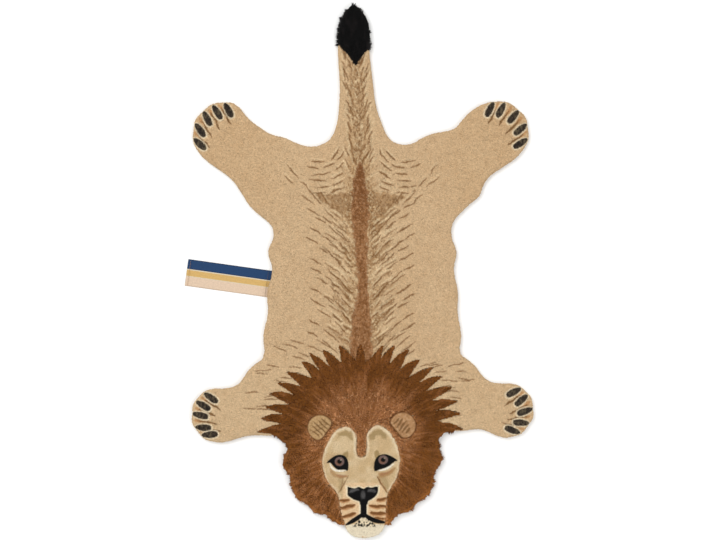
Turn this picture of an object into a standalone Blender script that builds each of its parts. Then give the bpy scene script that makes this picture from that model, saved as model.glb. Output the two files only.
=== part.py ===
"""Lion shaped kids rug: a tufted wool pelt lying flat, with its sewn-on ribbon label.

Metres, +Z up. The origin is on the underside of the pelt, at the middle of its belly, so the rug
rests on z = 0. The tail points to +Y, the head to -Y. Sizes below are in millimetres.
"""

import math
import random

import bmesh
import bpy
from mathutils import Vector, noise

MM = 0.001
CLOSE = 0.01 * MM           # points nearer than this are one
UPRIGHT = 0.99              # a normal steeper than this belongs to a flat side
SEED = 11

# ---- thickness of the pelt, from the floor up --------------------------------------------------
HIDE_STEPS = 3             # straight runs between two points of the hide's outline
OUTLINE_STEPS = 2          # and of the others
HIDE_TOP = 13.0            # backing canvas and short pile of the body and limbs
HIDE_RIM_ROUND = 4.0
FACE_TOP = 14.5            # clipped pile of the face
EAR_TOP = 15.5
CARVED_RIM_ROUND = 2.0
GROOVE_FLOOR = 12.0        # bottom of the line clipped round the face and the ears
GROOVE_WIDTH = 2.0
MANE_TOP = 16.5            # long pile of the mane, before its lumps
MANE_RIM_ROUND = 2.0
MANE_GRID = 12.0
MANE_LUMP = 1.6
MANE_CLUMP_TWIST = 30.0    # reach over which a clump turns by one radian of its wave
MANE_PATCH = 28.0
TUFT_TOP = 17.0            # long pile at the end of the tail
TUFT_GRID = 9.0
TUFT_LUMP = 2.2
TUFT_CROWN = 2.0
TUFT_HALF_WIDTH = 30.0
TUFT_PATCH = 17.0

# ---- outline of the hide: sections across the body, (y, left edge, right edge) ------------------
TAIL = (
    # y, left, right
    (452, -28, 0),
    (425, -43, 11),
    (399, -44, 14),
    (347, -41, 20),
    (310, -42, 25),
    (272, -47, 37),
    (246, -58, 50),
    (236, -71, 65),
)
FLANK = (
    # y, left, right
    (62, -165, 167),
    (34, -175, 176),
    (2, -167, 171),
    (-45, -177, 179),
    (-78, -175, 178),
    (-122, -184, 185),
)
NECK = (
    # y, left, right: hidden in the mane
    (-324, -116, 118),
    (-385, -60, 62),
)

# ---- limbs: each has an axis from its root to the middle of its paw. Sections are distance along
# the axis and the reach to each side of it, towards the tail and towards the head. ---------------
LIMBS = {
    "hind_left": dict(root=(-110, 180), paw=(-257, 254), paw_radius=59, sections=(
        # along, tail side, head side
        (8, 52, 114),
        (34, 45, 106),
        (60, 44, 99),
        (86, 38, 84),
        (110, 40, 71),
        (134, 44, 65),
    )),
    "fore_left": dict(root=(-150, -235), paw=(-267, -271), paw_radius=51, sections=(
        # along, tail side, head side
        (12, 78, 74),
        (28, 71, 69),
        (44, 64, 64),
        (58, 53, 59),
        (72, 44, 55),
        (88, 42, 52),
    )),
    "fore_right": dict(root=(150, -230), paw=(269, -262), paw_radius=51, sections=(
        # along, tail side, head side
        (14, 79, 72),
        (30, 72, 66),
        (46, 64, 61),
        (60, 53, 56),
        (74, 45, 50),
        (90, 43, 46),
    )),
    "hind_right": dict(root=(110, 180), paw=(253, 257), paw_radius=58, sections=(
        # along, tail side, head side
        (10, 57, 108),
        (32, 57, 99),
        (54, 55, 93),
        (76, 48, 88),
        (95, 44, 72),
        (114, 50, 64),
        (134, 57, 62),
    )),
}
PAW_TURN = 80              # degrees from the limb's axis at which the paw's arc starts and ends
PAW_STEPS = 8
PAW_TOES = 5
PAW_TOE_SWELL = 1.2

# ---- head ---------------------------------------------------------------------------------------
MANE_CENTRE = (0, -317)
MANE_SPIKES = 21           # over the body, between the two angles below
MANE_SPIKE_FROM, MANE_SPIKE_TO = 6, 177
MANE_SPIKE_TIP, MANE_SPIKE_TIP_SPREAD = 178, 5
MANE_SPIKE_SIDE_TIP = 11   # how much longer the spikes at both sides are
MANE_SPIKE_ROOT, MANE_SPIKE_ROOT_SPREAD = 144, 4
MANE_SPIKE_TURN = 1.2      # uneven spacing, degrees
MANE_SPIKE_APART = 5.0     # further apart than the others: the middle one and those beside it
MANE_SPIKE_LEAN = 3.6      # how far each tip leans away from the middle one, degrees
MANE_SPIKE_MIDDLE = 3.0    # a spike this near the middle one's place stands straight, degrees
MANE_SPIKE_SHOULDER = 0.5  # how far out each side swells, as a share of the spike
MANE_SPIKE_SWELL = 0.24    # half its width there, as a share of the spacing
MANE_SPIKE_BELLY = 0.3     # the same on the side towards the middle spike
MANE_RIM = (
    # degrees round the head, reach of the pad under the locks: hollows and clumps in turn
    (181, 149),
    (185, 139),
    (190, 144),
    (198, 156),
    (206, 150),
    (221, 164),
    (228, 157),
    (236, 162),
    (244, 155),
    (256, 164),
    (270, 158),
    (284, 166),
    (290, 162),
    (296, 154),
    (303, 160),
    (312, 156),
    (322, 161),
    (336, 148),
    (346, 154),
    (354, 144),
    (361, 144),
)
FACE = (
    # y, left, right: from the brow down to the chin
    (-305, -54, 54),
    (-321, -64, 63),
    (-339, -71, 69),
    (-358, -75, 72),
    (-392, -67, 63),
    (-418, -46, 48),
    (-444, -41, 45),
    (-472, -33, 43),
    (-488, -27, 37),
    (-498, -13, 21),
)
FACE_BROWS = (
    # x, y: over the right brow, round the forelock that comes down between both, over the left
    (43, -295),
    (29, -289),
    (16, -296),
    (8, -311),
    (7, -345),
    (-9, -346),
    (-10, -313),
    (-18, -298),
    (-30, -292),
    (-42, -295),
)
EARS = (
    # middle, radius, turn of the flat side, distance to it
    dict(middle=(-78, -294), radius=24, turn=-35, flat=15),
    dict(middle=(76, -290), radius=25, turn=-140, flat=16),
)
EAR_STEPS = 14

# ---- tail tuft ----------------------------------------------------------------------------------
TUFT = (
    # y, left, right
    (485, -28, -3),
    (467, -38, 9),
    (446, -43, 13),
    (424, -43, 14),
    (413, -38, 12),
    (404, -28, 4),
    (393, -20, -4),
)
TUFT_TIP = (-15, 494)
TUFT_FOOT = (-12, 382)

# ---- locks of long pile along the free rims: four-sided, tapered, each bent down a little --------
LOCK_LENGTH = 15.0
LOCK_ROOT_DEPTH = 8.0
LOCK_WIDTH = 5.0
LOCK_TIP_WIDTH = 1.2
LOCK_SWAY = 2.5
LOCK_LAYERS = (
    # height at the root, height at the tip
    (4.4, 2.6),
    (10.6, 7.2),
)
MANE_LOCK_PITCH = 11.5
MANE_LOCK_FROM, MANE_LOCK_TO = 194, 348
CHIN_GAP = (256, 285)      # degrees of the rim where the bare chin passes
TUFT_MIDDLE = (-14, 436)
TUFT_LOCK_PITCH = 9.5
TUFT_LOCK_FROM, TUFT_LOCK_TO = -55, 225

# ---- ribbon label -------------------------------------------------------------------------------
LABEL_END = (-329.0, -4.3)  # middle of its outer end
LABEL_TURN = -8.0
LABEL_LENGTH = 173.0        # with the end that is sewn under the hide
LABEL_TUCK = 14.0
LABEL_WIDTH = 50.0
LABEL_THICK = 1.2
LABEL_HEM = 7.5
LABEL_HEM_THICK = 2.3
GAP = 0.3                   # between two pieces that touch

SAND = (0.58, 0.41, 0.24, 1)
RIBBON = (0.05, 0.09, 0.17, 1)


def material(name, colour, roughness):
    """Plain Principled material in the piece's main colour."""
    made = bpy.data.materials.new(name)
    made.use_nodes = True
    shader = made.node_tree.nodes["Principled BSDF"]
    shader.inputs["Base Color"].default_value = colour
    shader.inputs["Roughness"].default_value = roughness
    shader.inputs["Metallic"].default_value = 0.0
    made.diffuse_color = colour
    return made


def polar(centre, degrees, radius):
    turn = math.radians(degrees)
    return (centre[0] + radius * math.cos(turn), centre[1] + radius * math.sin(turn))


# ---- outlines -----------------------------------------------------------------------------------
def limb_outline(root, paw, paw_radius, sections):
    """Points from the tail side of the root, out round the paw, and back along the head side."""
    root, paw = Vector(root), Vector(paw)
    axis = (paw - root).normalized()
    side = Vector((-axis.y, axis.x))
    if side.y < 0:
        side.negate()
    tail_side = [root + axis * along + side * tail for along, tail, _ in sections]
    head_side = [root + axis * along - side * head for along, _, head in sections]
    arc = []
    for step in range(PAW_STEPS + 1):
        turn = math.radians(PAW_TURN - 2 * PAW_TURN * step / PAW_STEPS)
        reach = paw_radius + PAW_TOE_SWELL * math.cos(2 * PAW_TOES * turn)
        arc.append(paw + axis * (reach * math.cos(turn)) + side * (reach * math.sin(turn)))
    return tail_side + arc + head_side[::-1]


def side_points(rows, side):
    """One edge of a table of sections across the body, from the tail end down."""
    return [(row[1 if side == "left" else 2], row[0]) for row in rows]


def hide_outline():
    """Round the hide: down its left side from the tail, and up its right side."""
    edges = {}
    for side in ("left", "right"):
        edges[side] = (
            side_points(TAIL, side)
            + limb_outline(**LIMBS["hind_" + side])
            + side_points(FLANK, side)
            + limb_outline(**LIMBS["fore_" + side])
            + side_points(NECK, side)
        )
    return edges["left"] + edges["right"][::-1]


def spike_side(turn):
    """Which way a spike leans: 1 on the left of the middle one, -1 on its right."""
    off = turn - (MANE_SPIKE_FROM + MANE_SPIKE_TO) / 2
    return 0 if abs(off) < MANE_SPIKE_MIDDLE else math.copysign(1, off)


def mane_outline(rng):
    """Spikes over the body, sharp at their tips and between them, then the clumped free rim."""
    points, sharp = [], set()
    pitch = (MANE_SPIKE_TO - MANE_SPIKE_FROM - 2 * MANE_SPIKE_APART) / (MANE_SPIKES - 1)
    turns = []
    for spike in range(-1, MANE_SPIKES + 1):
        turn = (MANE_SPIKE_FROM + MANE_SPIKE_TO) / 2 + pitch * (spike - (MANE_SPIKES - 1) / 2)
        turn += MANE_SPIKE_APART * spike_side(turn) + rng.uniform(-1, 1) * MANE_SPIKE_TURN
        turns.append(turn)
    for turn, following in zip(turns[1:], turns[2:]):
        tip = MANE_SPIKE_TIP + rng.uniform(-1, 1) * MANE_SPIKE_TIP_SPREAD
        tip += MANE_SPIKE_SIDE_TIP * math.cos(math.radians(turn)) ** 2
        root = MANE_SPIKE_ROOT + rng.uniform(-1, 1) * MANE_SPIKE_ROOT_SPREAD
        shoulder = root + MANE_SPIKE_SHOULDER * (tip - root)
        side = spike_side(turn)
        middle = turn - side * (1 - MANE_SPIKE_SHOULDER) * MANE_SPIKE_LEAN
        before = MANE_SPIKE_BELLY if side > 0 else MANE_SPIKE_SWELL
        after = MANE_SPIKE_BELLY if side < 0 else MANE_SPIKE_SWELL
        points.append(polar(MANE_CENTRE, middle - before * pitch, shoulder))
        sharp.add(len(points))
        points.append(polar(MANE_CENTRE, turn, tip))
        points.append(polar(MANE_CENTRE, middle + after * pitch, shoulder))
        notch = (turn + following) / 2
        if following is not turns[-1]:
            sharp.add(len(points))
            points.append(polar(MANE_CENTRE, notch - spike_side(notch) * MANE_SPIKE_LEAN, root))
    points += [polar(MANE_CENTRE, turn, reach) for turn, reach in MANE_RIM]
    return points, sharp


def face_outline(grown):
    """Cheeks, muzzle and round chin, then two brows with the forelock between them."""
    points = side_points(FACE, "left") + side_points(FACE, "right")[::-1] + list(FACE_BROWS)
    moved = []
    for index, point in enumerate(points):
        run = Vector(points[(index + 1) % len(points)]) - Vector(points[index - 1])
        moved.append(tuple(Vector(point) + grown * Vector((run.y, -run.x)).normalized()))
    return moved


def ear_outline(ear, grown):
    """Round, with a flat side towards the face."""
    points = []
    for step in range(EAR_STEPS):
        turn = 360 * step / EAR_STEPS
        facing = math.cos(math.radians(turn - ear["turn"]))
        reach = ear["radius"]
        if facing * reach > ear["flat"]:
            reach = ear["flat"] / facing
        points.append(polar(ear["middle"], turn, reach + grown))
    return points


def tuft_outline():
    return (
        [TUFT_TIP] + side_points(TUFT, "left") + [TUFT_FOOT] + side_points(TUFT, "right")[::-1]
    )


# ---- slabs --------------------------------------------------------------------------------------
def slab(name, points, bottom, top, sharp=(), steps=OUTLINE_STEPS):
    """Closed smooth outline, filled and given a thickness, as a mesh with one face on each side."""
    curve = bpy.data.curves.new(name, "CURVE")
    curve.dimensions = "2D"
    curve.fill_mode = "BOTH"
    curve.extrude = (top - bottom) / 2 * MM
    curve.resolution_u = steps
    spline = curve.splines.new("BEZIER")
    spline.bezier_points.add(len(points) - 1)
    spline.use_cyclic_u = True
    for index, (x, y) in enumerate(points):
        knot = spline.bezier_points[index]
        knot.co = (x * MM, y * MM, 0)
        handle = "VECTOR" if index in sharp else "AUTO"
        knot.handle_left_type = handle
        knot.handle_right_type = handle
    outline = bpy.data.objects.new(name, curve)
    outline.location.z = (top + bottom) / 2 * MM
    return curve_to_mesh(outline)


def curve_to_mesh(drawn):
    """Weld the curve's caps to its sides and make each flat side one face."""
    bpy.context.scene.collection.objects.link(drawn)
    bpy.context.view_layer.update()
    depsgraph = bpy.context.evaluated_depsgraph_get()
    mesh = bpy.data.meshes.new_from_object(drawn.evaluated_get(depsgraph))
    name, place = drawn.name, drawn.matrix_world.copy()
    bpy.data.objects.remove(drawn)
    bm = bmesh.new()
    bm.from_mesh(mesh)
    bmesh.ops.remove_doubles(bm, verts=bm.verts, dist=CLOSE)
    bmesh.ops.recalc_face_normals(bm, faces=bm.faces)
    flat = [
        edge for edge in bm.edges
        if len(edge.link_faces) == 2
        and all(abs(face.normal.z) > UPRIGHT for face in edge.link_faces)
    ]
    bmesh.ops.dissolve_edges(bm, edges=flat)
    bmesh.ops.transform(bm, matrix=place, verts=bm.verts)
    bm.to_mesh(mesh)
    bm.free()
    return bpy.data.objects.new(name, mesh)


def top_faces(bm):
    highest = max(vert.co.z for vert in bm.verts)
    return [
        face for face in bm.faces
        if face.normal.z > UPRIGHT and abs(face.calc_center_median().z - highest) < CLOSE
    ]


def round_rim(solid, width):
    """Round the upper rim of a slab."""
    bm = bmesh.new()
    bm.from_mesh(solid.data)
    rim = [edge for face in top_faces(bm) for edge in face.edges]
    bmesh.ops.bevel(
        bm, geom=rim, offset=width * MM, offset_type="OFFSET", segments=2, profile=0.5,
        affect="EDGES", material=-1, clamp_overlap=True,
    )
    bm.to_mesh(solid.data)
    bm.free()


def lump_top(solid, pitch, height):
    """Divide a slab's upper face into a grid and set each point of it to the pile's height."""
    bm = bmesh.new()
    bm.from_mesh(solid.data)
    highest = max(vert.co.z for vert in bm.verts)
    for axis in (0, 1):
        low = min(vert.co[axis] for vert in bm.verts)
        high = max(vert.co[axis] for vert in bm.verts)
        across = Vector((1, 0, 0)) if axis == 0 else Vector((0, 1, 0))
        for step in range(1, math.ceil((high - low) / (pitch * MM))):
            faces = top_faces(bm)
            edges = {edge for face in faces for edge in face.edges}
            verts = {vert for face in faces for vert in face.verts}
            bmesh.ops.bisect_plane(
                bm, geom=faces + list(edges) + list(verts), dist=CLOSE,
                plane_co=across * (low + step * pitch * MM), plane_no=across,
            )
    for vert in bm.verts:
        if abs(vert.co.z - highest) < CLOSE:
            vert.co.z += height(vert.co.x / MM, vert.co.y / MM) * MM
    bm.to_mesh(solid.data)
    bm.free()


def mane_height(x, y):
    """Clumps that run out from the face, broken up unevenly."""
    away = Vector((x - MANE_CENTRE[0], y - MANE_CENTRE[1]))
    clump = math.cos(MANE_SPIKES * math.atan2(away.y, away.x) + away.length / MANE_CLUMP_TWIST)
    patch = noise.noise(Vector((x, y, SEED)) / MANE_PATCH)
    return MANE_LUMP * (0.5 * clump + patch)


def tuft_height(x, y):
    """Crowned along the middle, with lumps."""
    aside = (x - TUFT_MIDDLE[0]) / TUFT_HALF_WIDTH
    patch = noise.noise(Vector((x, y, SEED)) / TUFT_PATCH)
    return TUFT_CROWN * (1 - aside * aside) + TUFT_LUMP * patch


# ---- locks --------------------------------------------------------------------------------------
def rim_reach(points, middle, degrees):
    """Distance from the middle to the outline's side in one direction."""
    turn = math.radians(degrees)
    ray = Vector((math.cos(turn), math.sin(turn)))
    best = 0
    for here, there in zip(points, points[1:] + points[:1]):
        a, b = Vector(here) - Vector(middle), Vector(there) - Vector(middle)
        run = b - a
        cross = ray.x * run.y - ray.y * run.x
        if abs(cross) < 1e-9:
            continue
        reach = (a.x * run.y - a.y * run.x) / cross
        share = (a.x * ray.y - a.y * ray.x) / cross
        if reach > 0 and 0 <= share <= 1:
            best = max(best, reach)
    return best


def lock_places(points, middle, start, stop, pitch, skip=(0, 0)):
    """Even steps along a rim, as angles and reaches from the middle."""
    places, turn = [], start
    while turn < stop:
        reach = rim_reach(points, middle, turn)
        if not skip[0] < turn % 360 < skip[1]:
            places.append((turn, reach))
        turn += math.degrees(pitch / reach)
    return places


def add_lock(curve, middle, turn, reach, heights, rng):
    """One lock: from inside the rim, outwards, bent down and a little to one side."""
    sway = math.degrees(rng.uniform(-1, 1) * LOCK_SWAY / reach)
    length = LOCK_LENGTH * rng.uniform(0.85, 1.1)
    root, tip = heights
    knots = (
        # reach past the rim, turn, height, width
        (-LOCK_ROOT_DEPTH, turn, root, LOCK_WIDTH),
        (1.0, turn + 0.2 * sway, root, LOCK_WIDTH),
        (length - LOCK_ROOT_DEPTH, turn + sway, tip, LOCK_TIP_WIDTH),
    )
    spline = curve.splines.new("POLY")
    spline.points.add(len(knots) - 1)
    for point, (past, around, height, width) in zip(spline.points, knots):
        x, y = polar(middle, around, reach + past)
        point.co = (x * MM, y * MM, height * MM, 1)
        point.radius = width / LOCK_WIDTH


def rim_locks(mane_points, tuft_points, rng):
    """All locks, as tubes of four sides that taper."""
    curve = bpy.data.curves.new("rim_locks", "CURVE")
    curve.dimensions = "3D"
    curve.fill_mode = "FULL"
    curve.bevel_depth = LOCK_WIDTH / 2 * MM
    curve.bevel_resolution = 0
    curve.use_fill_caps = True
    mane = lock_places(
        mane_points, MANE_CENTRE, MANE_LOCK_FROM, MANE_LOCK_TO, MANE_LOCK_PITCH, CHIN_GAP)
    tuft = lock_places(tuft_points, TUFT_MIDDLE, TUFT_LOCK_FROM, TUFT_LOCK_TO, TUFT_LOCK_PITCH)
    for middle, places, pitch in (
        (MANE_CENTRE, mane, MANE_LOCK_PITCH), (TUFT_MIDDLE, tuft, TUFT_LOCK_PITCH),
    ):
        for layer, heights in enumerate(LOCK_LAYERS):
            for turn, reach in places:
                shift = math.degrees(0.5 * layer * pitch / reach)
                add_lock(curve, middle, turn + shift, reach, heights, rng)
    return curve_to_mesh(bpy.data.objects.new("rim_locks", curve))


# ---- pieces -------------------------------------------------------------------------------------
def carve_and_fill(mane, name, outline, top, helpers):
    """Clip a pocket into the mane and fill it with a lower pad, leaving a groove round the pad."""
    pocket = slab(name + "_pocket", outline(GROOVE_WIDTH), GROOVE_FLOOR, 2 * MANE_TOP)
    pad = slab(name + "_pad", outline(0), 0, top)
    round_rim(pad, CARVED_RIM_ROUND)
    for shape, action in ((pocket, "DIFFERENCE"), (pad, "UNION")):
        helper(shape, helpers)
        boolean(mane, shape, action)


def boolean(target, other, action):
    modifier = target.modifiers.new(action.lower() + "_" + other.name, "BOOLEAN")
    modifier.operation = action
    modifier.solver = "EXACT"
    modifier.object = other


def helper(shape, helpers):
    """A shape that only cuts or joins another one."""
    helpers.objects.link(shape)
    shape.hide_render = True
    shape.display_type = "WIRE"


def make_head(rng, helpers):
    points, sharp = mane_outline(rng)
    mane = slab("mane", points, 0, MANE_TOP, sharp)
    round_rim(mane, MANE_RIM_ROUND)
    lump_top(mane, MANE_GRID, mane_height)
    for index, ear in enumerate(EARS):
        carve_and_fill(
            mane, f"ear_{index}", lambda grown, ear=ear: ear_outline(ear, grown), EAR_TOP, helpers)
    carve_and_fill(mane, "face", face_outline, FACE_TOP, helpers)
    helper(mane, helpers)
    return mane, points


def make_tail_tuft(helpers):
    points = tuft_outline()
    tuft = slab("tail_tuft", points, 0, TUFT_TOP)
    round_rim(tuft, CARVED_RIM_ROUND)
    lump_top(tuft, TUFT_GRID, tuft_height)
    helper(tuft, helpers)
    return tuft, points


def label_direction():
    turn = math.radians(LABEL_TURN)
    return Vector((math.cos(turn), math.sin(turn), 0))


def label_slot(helpers):
    """Shallow slot in the underside of the hide's edge, for the end of the label."""
    bm = bmesh.new()
    bmesh.ops.create_cube(bm, size=1)
    slot = bpy.data.objects.new("label_slot", bpy.data.meshes.new("label_slot"))
    inner = LABEL_LENGTH + GAP
    outer = LABEL_LENGTH - 3 * LABEL_TUCK
    size = Vector((inner - outer, LABEL_WIDTH + 2 * GAP, 2 * (LABEL_THICK + GAP)))
    bmesh.ops.scale(bm, vec=size * MM, verts=bm.verts)
    bm.to_mesh(slot.data)
    bm.free()
    middle = Vector((*LABEL_END, 0)) + label_direction() * (inner + outer) / 2
    slot.location = middle * MM
    slot.rotation_euler.z = math.radians(LABEL_TURN)
    helper(slot, helpers)
    return slot


def make_pelt(parts, helpers):
    rng = random.Random(SEED)
    pelt = slab("pelt", hide_outline(), 0, HIDE_TOP, steps=HIDE_STEPS)
    round_rim(pelt, HIDE_RIM_ROUND)
    mane, mane_points = make_head(rng, helpers)
    tuft, tuft_points = make_tail_tuft(helpers)
    locks = rim_locks(mane_points, tuft_points, rng)
    helper(locks, helpers)
    for shape in (mane, tuft, locks):
        boolean(pelt, shape, "UNION")
    boolean(pelt, label_slot(helpers), "DIFFERENCE")
    parts.objects.link(pelt)
    pelt.data.materials.append(material("wool_pile", SAND, 0.95))
    return pelt


def make_label(parts):
    """Ribbon, drawn from its side: flat, with its outer end folded under as a hem."""
    curve = bpy.data.curves.new("label", "CURVE")
    curve.dimensions = "2D"
    curve.fill_mode = "BOTH"
    curve.extrude = LABEL_WIDTH / 2 * MM
    profile = (
        # along, up
        (0, 0.5),
        (0.5, 0),
        (LABEL_LENGTH, 0),
        (LABEL_LENGTH, LABEL_THICK),
        (LABEL_HEM + 1, LABEL_THICK),
        (LABEL_HEM, LABEL_HEM_THICK),
        (0.8, LABEL_HEM_THICK),
        (0, LABEL_HEM_THICK - 0.8),
    )
    spline = curve.splines.new("POLY")
    spline.points.add(len(profile) - 1)
    spline.use_cyclic_u = True
    for point, (along, up) in zip(spline.points, profile):
        point.co = (along * MM, up * MM, 0, 1)
    ribbon = bpy.data.objects.new("label", curve)
    ribbon.rotation_euler = (math.radians(90), 0, math.radians(LABEL_TURN))
    ribbon.location = Vector((*LABEL_END, 0)) * MM
    label = curve_to_mesh(ribbon)
    parts.objects.link(label)
    label.data.materials.append(material("woven_ribbon", RIBBON, 0.6))
    return label


def main():
    for old in list(bpy.data.objects):
        bpy.data.objects.remove(old)
    parts = bpy.data.collections.new("lion_rug")
    helpers = bpy.data.collections.new("cutters")
    bpy.context.scene.collection.children.link(parts)
    bpy.context.scene.collection.children.link(helpers)
    make_pelt(parts, helpers)
    make_label(parts)


main()
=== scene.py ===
"""Looks of the lion shaped kids rug: cut wool pile made tuft by tuft, the long locks of the mane
and of the tail, the canvas backing and the ribbon label.

The work is in millimetres, seen from above with the tail towards +y, and is turned to metres where
a mesh is made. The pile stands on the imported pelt: its outline and heights are read off that node.
"""

import math
from collections import namedtuple

import bmesh
import bpy
import numpy as np
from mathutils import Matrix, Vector
from mathutils.bvhtree import BVHTree
from mathutils.kdtree import KDTree


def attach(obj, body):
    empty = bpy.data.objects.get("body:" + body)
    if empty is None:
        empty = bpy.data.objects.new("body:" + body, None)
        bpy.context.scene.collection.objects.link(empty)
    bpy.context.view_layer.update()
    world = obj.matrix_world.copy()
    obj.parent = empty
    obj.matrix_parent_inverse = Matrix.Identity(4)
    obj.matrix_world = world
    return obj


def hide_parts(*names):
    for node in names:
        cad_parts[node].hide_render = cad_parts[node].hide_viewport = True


MM = 0.001
CLOSE = 0.01                # points nearer than this are one, mm
rng = np.random.default_rng(11)

# ---- cloth ---------------------------------------------------------------------------------------
BACKING_TOP = 1.8           # canvas and backing cloth, glued together
BED_TOP = 9.3               # where the tufts stand free of each other
BED_INSET = 2.6
BED_GRID = 9.0              # the bed's colours are set at points this far apart
# painted shade: the bed takes its yarn's colours, darkened down between the tufts
BED_SHADE = 0.8             # how dark the roots are between the tufts
OUTLINE_STEP = 1.0
RIM_PROBE = 3.0             # what grows at the rim is looked up this far in from it

# ---- tufts: spacing, girth and unevenness in mm, how much one yarn differs from the next, and the
# share of its yarn's colour that a pile shows, because its tufts shade each other ----------------
Pile = namedtuple("Pile", "pitch radius jitter height_jitter lean tone shown")
HIDE_PILE = Pile(
    pitch=2.3, radius=1.8, jitter=0.15, height_jitter=0.18, lean=0.45, tone=0.075, shown=1.03)
FACE_PILE = Pile(
    pitch=1.8, radius=1.4, jitter=0.2, height_jitter=0.15, lean=0.35, tone=0.045, shown=1.03)
MANE_PILE = Pile(
    pitch=2.25, radius=1.55, jitter=0.3, height_jitter=0.6, lean=2.6, tone=0.12, shown=0.64)
TAIL_PILE = Pile(
    pitch=2.1, radius=1.45, jitter=0.3, height_jitter=0.7, lean=2.4, tone=0.08, shown=0.9)
STRANDS = Pile(
    pitch=2.0, radius=0.9, jitter=0.5, height_jitter=0.0, lean=3.0, tone=0.14, shown=0.75)
PALEST = 0.96               # no yarn sends back more light than this
# painted shade: each tuft is coloured darker from its tip down to its root
ROOT_SHADE = 0.8            # yarn at the root, against its tip
# height, girth: a pinched root and a domed tip
TUFT_RINGS = ((0.0, 0.0), (0.86, 1.0), (1.0, 0.0))
LOCK_RINGS = ((0.0, 0.0), (0.36, 0.85), (0.8, 0.8), (1.0, 0.0))
STRAND_RINGS = ((0.0, 0.0), (0.25, 1.0), (0.7, 0.8), (1.0, 0.0))
TUFT_LENGTH = 4.4
GIRTHS = (0.86, 1.12)       # thin and thick yarn ends, against their pile's radius
ROOT_HIGHEST = BED_TOP - 0.6            # a root is always in the bed
OVERHANG_WITHIN = BED_INSET + 1.2       # nearer to the rim, tufts lean out over it
DYED_TOWARDS_TIP = 0.25     # a yarn end's colours are looked up so far towards its tip
CELL_FILLED = 0.52          # how far from its middle a yarn end fills its cell of the flat map
RIM_ROW_STEP = 2.3          # rows of tufts up the cut edge
RIM_ROW_FIRST = 2.4
RIM_ROW_LAST = 1.6          # the last row is at least so far below the top
RIM_LEAN = 3.2
RIM_OUT, RIM_BACK = 0.25, 1.5           # tips stand out from the rim, and those at its top back
HIDE_PASSES = 3             # the hide is tufted over three times, each pass between the last
STRANDS_EACH = 3            # for each millimetre of the rims of the mane and of the tail's tuft
STRAND_ROOT = (4.0, 8.0)    # how far in a strand starts
STRAND_LOWEST, STRAND_HIGHEST = 2.5, 1.5    # above the floor, and below the top of the pile
STRAND_CLUMP = 5.5          # size of the clumps that strands lie in
STRAND_SAG = 0.35           # how much lower it ends, as a share of its height
FRINGES = (
    # piece, what grows there, how far out its strands reach at most
    ("mane_fringe", "m", 8.0),
    ("tail_fringe", "t", 9.0),
)

# ---- head and tail, as the pelt's solid has them -------------------------------------------------
MANE_CENTRE = np.array((0.0, -317.0))
MANE_REACH = 200
MANE_RAISED = 0.45          # pile that stands so far above the body's is the mane's
GROOVE_SUNK = 0.6           # and so far below it, on the head, the line clipped round the face
GROOVE_BOX = (150, -300)    # on both sides, and from there down
SPIKE_SPREAD = 1.2          # yarn leans out over the edge of a spike by so much
SPIKE_COMBED = 5.0          # and over its tip by so much
COMBED_BETWEEN = (150, 176)             # how far out combing starts, and where it is in full
SPIKES_FROM = 145           # short of this, the mane is as high as its solid
BODY_TOP = 13.0
FACE = (
    # y, left, right: from the brow down to the chin
    (-305, -54, 54),
    (-321, -64, 63),
    (-339, -71, 69),
    (-358, -75, 72),
    (-392, -67, 63),
    (-418, -46, 48),
    (-444, -41, 45),
    (-472, -33, 43),
    (-488, -27, 37),
    (-498, -13, 21),
)
FACE_BROWS = (
    # x, y: over the right brow, round the forelock that comes down between both, over the left
    (43, -295),
    (29, -289),
    (16, -296),
    (8, -311),
    (7, -345),
    (-9, -346),
    (-10, -313),
    (-18, -298),
    (-30, -292),
    (-42, -295),
)
EARS = (
    # middle, radius, turn of the flat side, distance to it, yarn, slant and size of the strokes
    dict(middle=(-78, -294), radius=24, turn=-35, flat=15, yarn="BE9C6E", slant=-42, strokes=5,
         stroke=34, stroke_width=3.0),
    dict(middle=(76, -290), radius=25, turn=-140, flat=16, yarn="B68C62", slant=52, strokes=5,
         stroke=26, stroke_width=4.4),
)
TAIL_TUFT = (
    # y, left, right
    (494, -15, -15),
    (485, -28, -3),
    (467, -38, 9),
    (446, -43, 13),
    (424, -43, 14),
    (413, -38, 12),
    (404, -28, 4),
    (393, -20, -4),
    (382, -12, -12),
)
TAIL_TUFT_MIDDLE = np.array((-14.0, 436.0))
TAIL_TUFT_BOX = ((-50, 370), (20, 505))
TAIL_TUFT_ALL = 424         # from here on the tail is all tuft
PAWS = (
    # claws: turn of the tip round the paw, and the way the claw points from there
    dict(middle=(-257, 254), radius=59,
         claws=((90, -61), (112, -58), (133, -62), (160, -54), (188, -43))),
    dict(middle=(253, 257), radius=58,
         claws=((97, -118), (76, -118), (46, -130), (16, -140), (-12, -147))),
    dict(middle=(-267, -271), radius=51,
         claws=((124, -34), (149, -30), (176, -14), (206, -5), (229, 5))),
    dict(middle=(269, -262), radius=51,
         claws=((56, -152), (36, -139), (4, -160), (-29, 176), (-58, 160))),
)
CLAW_LENGTH, CLAW_WIDTH = 31.0, 12.5

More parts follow.
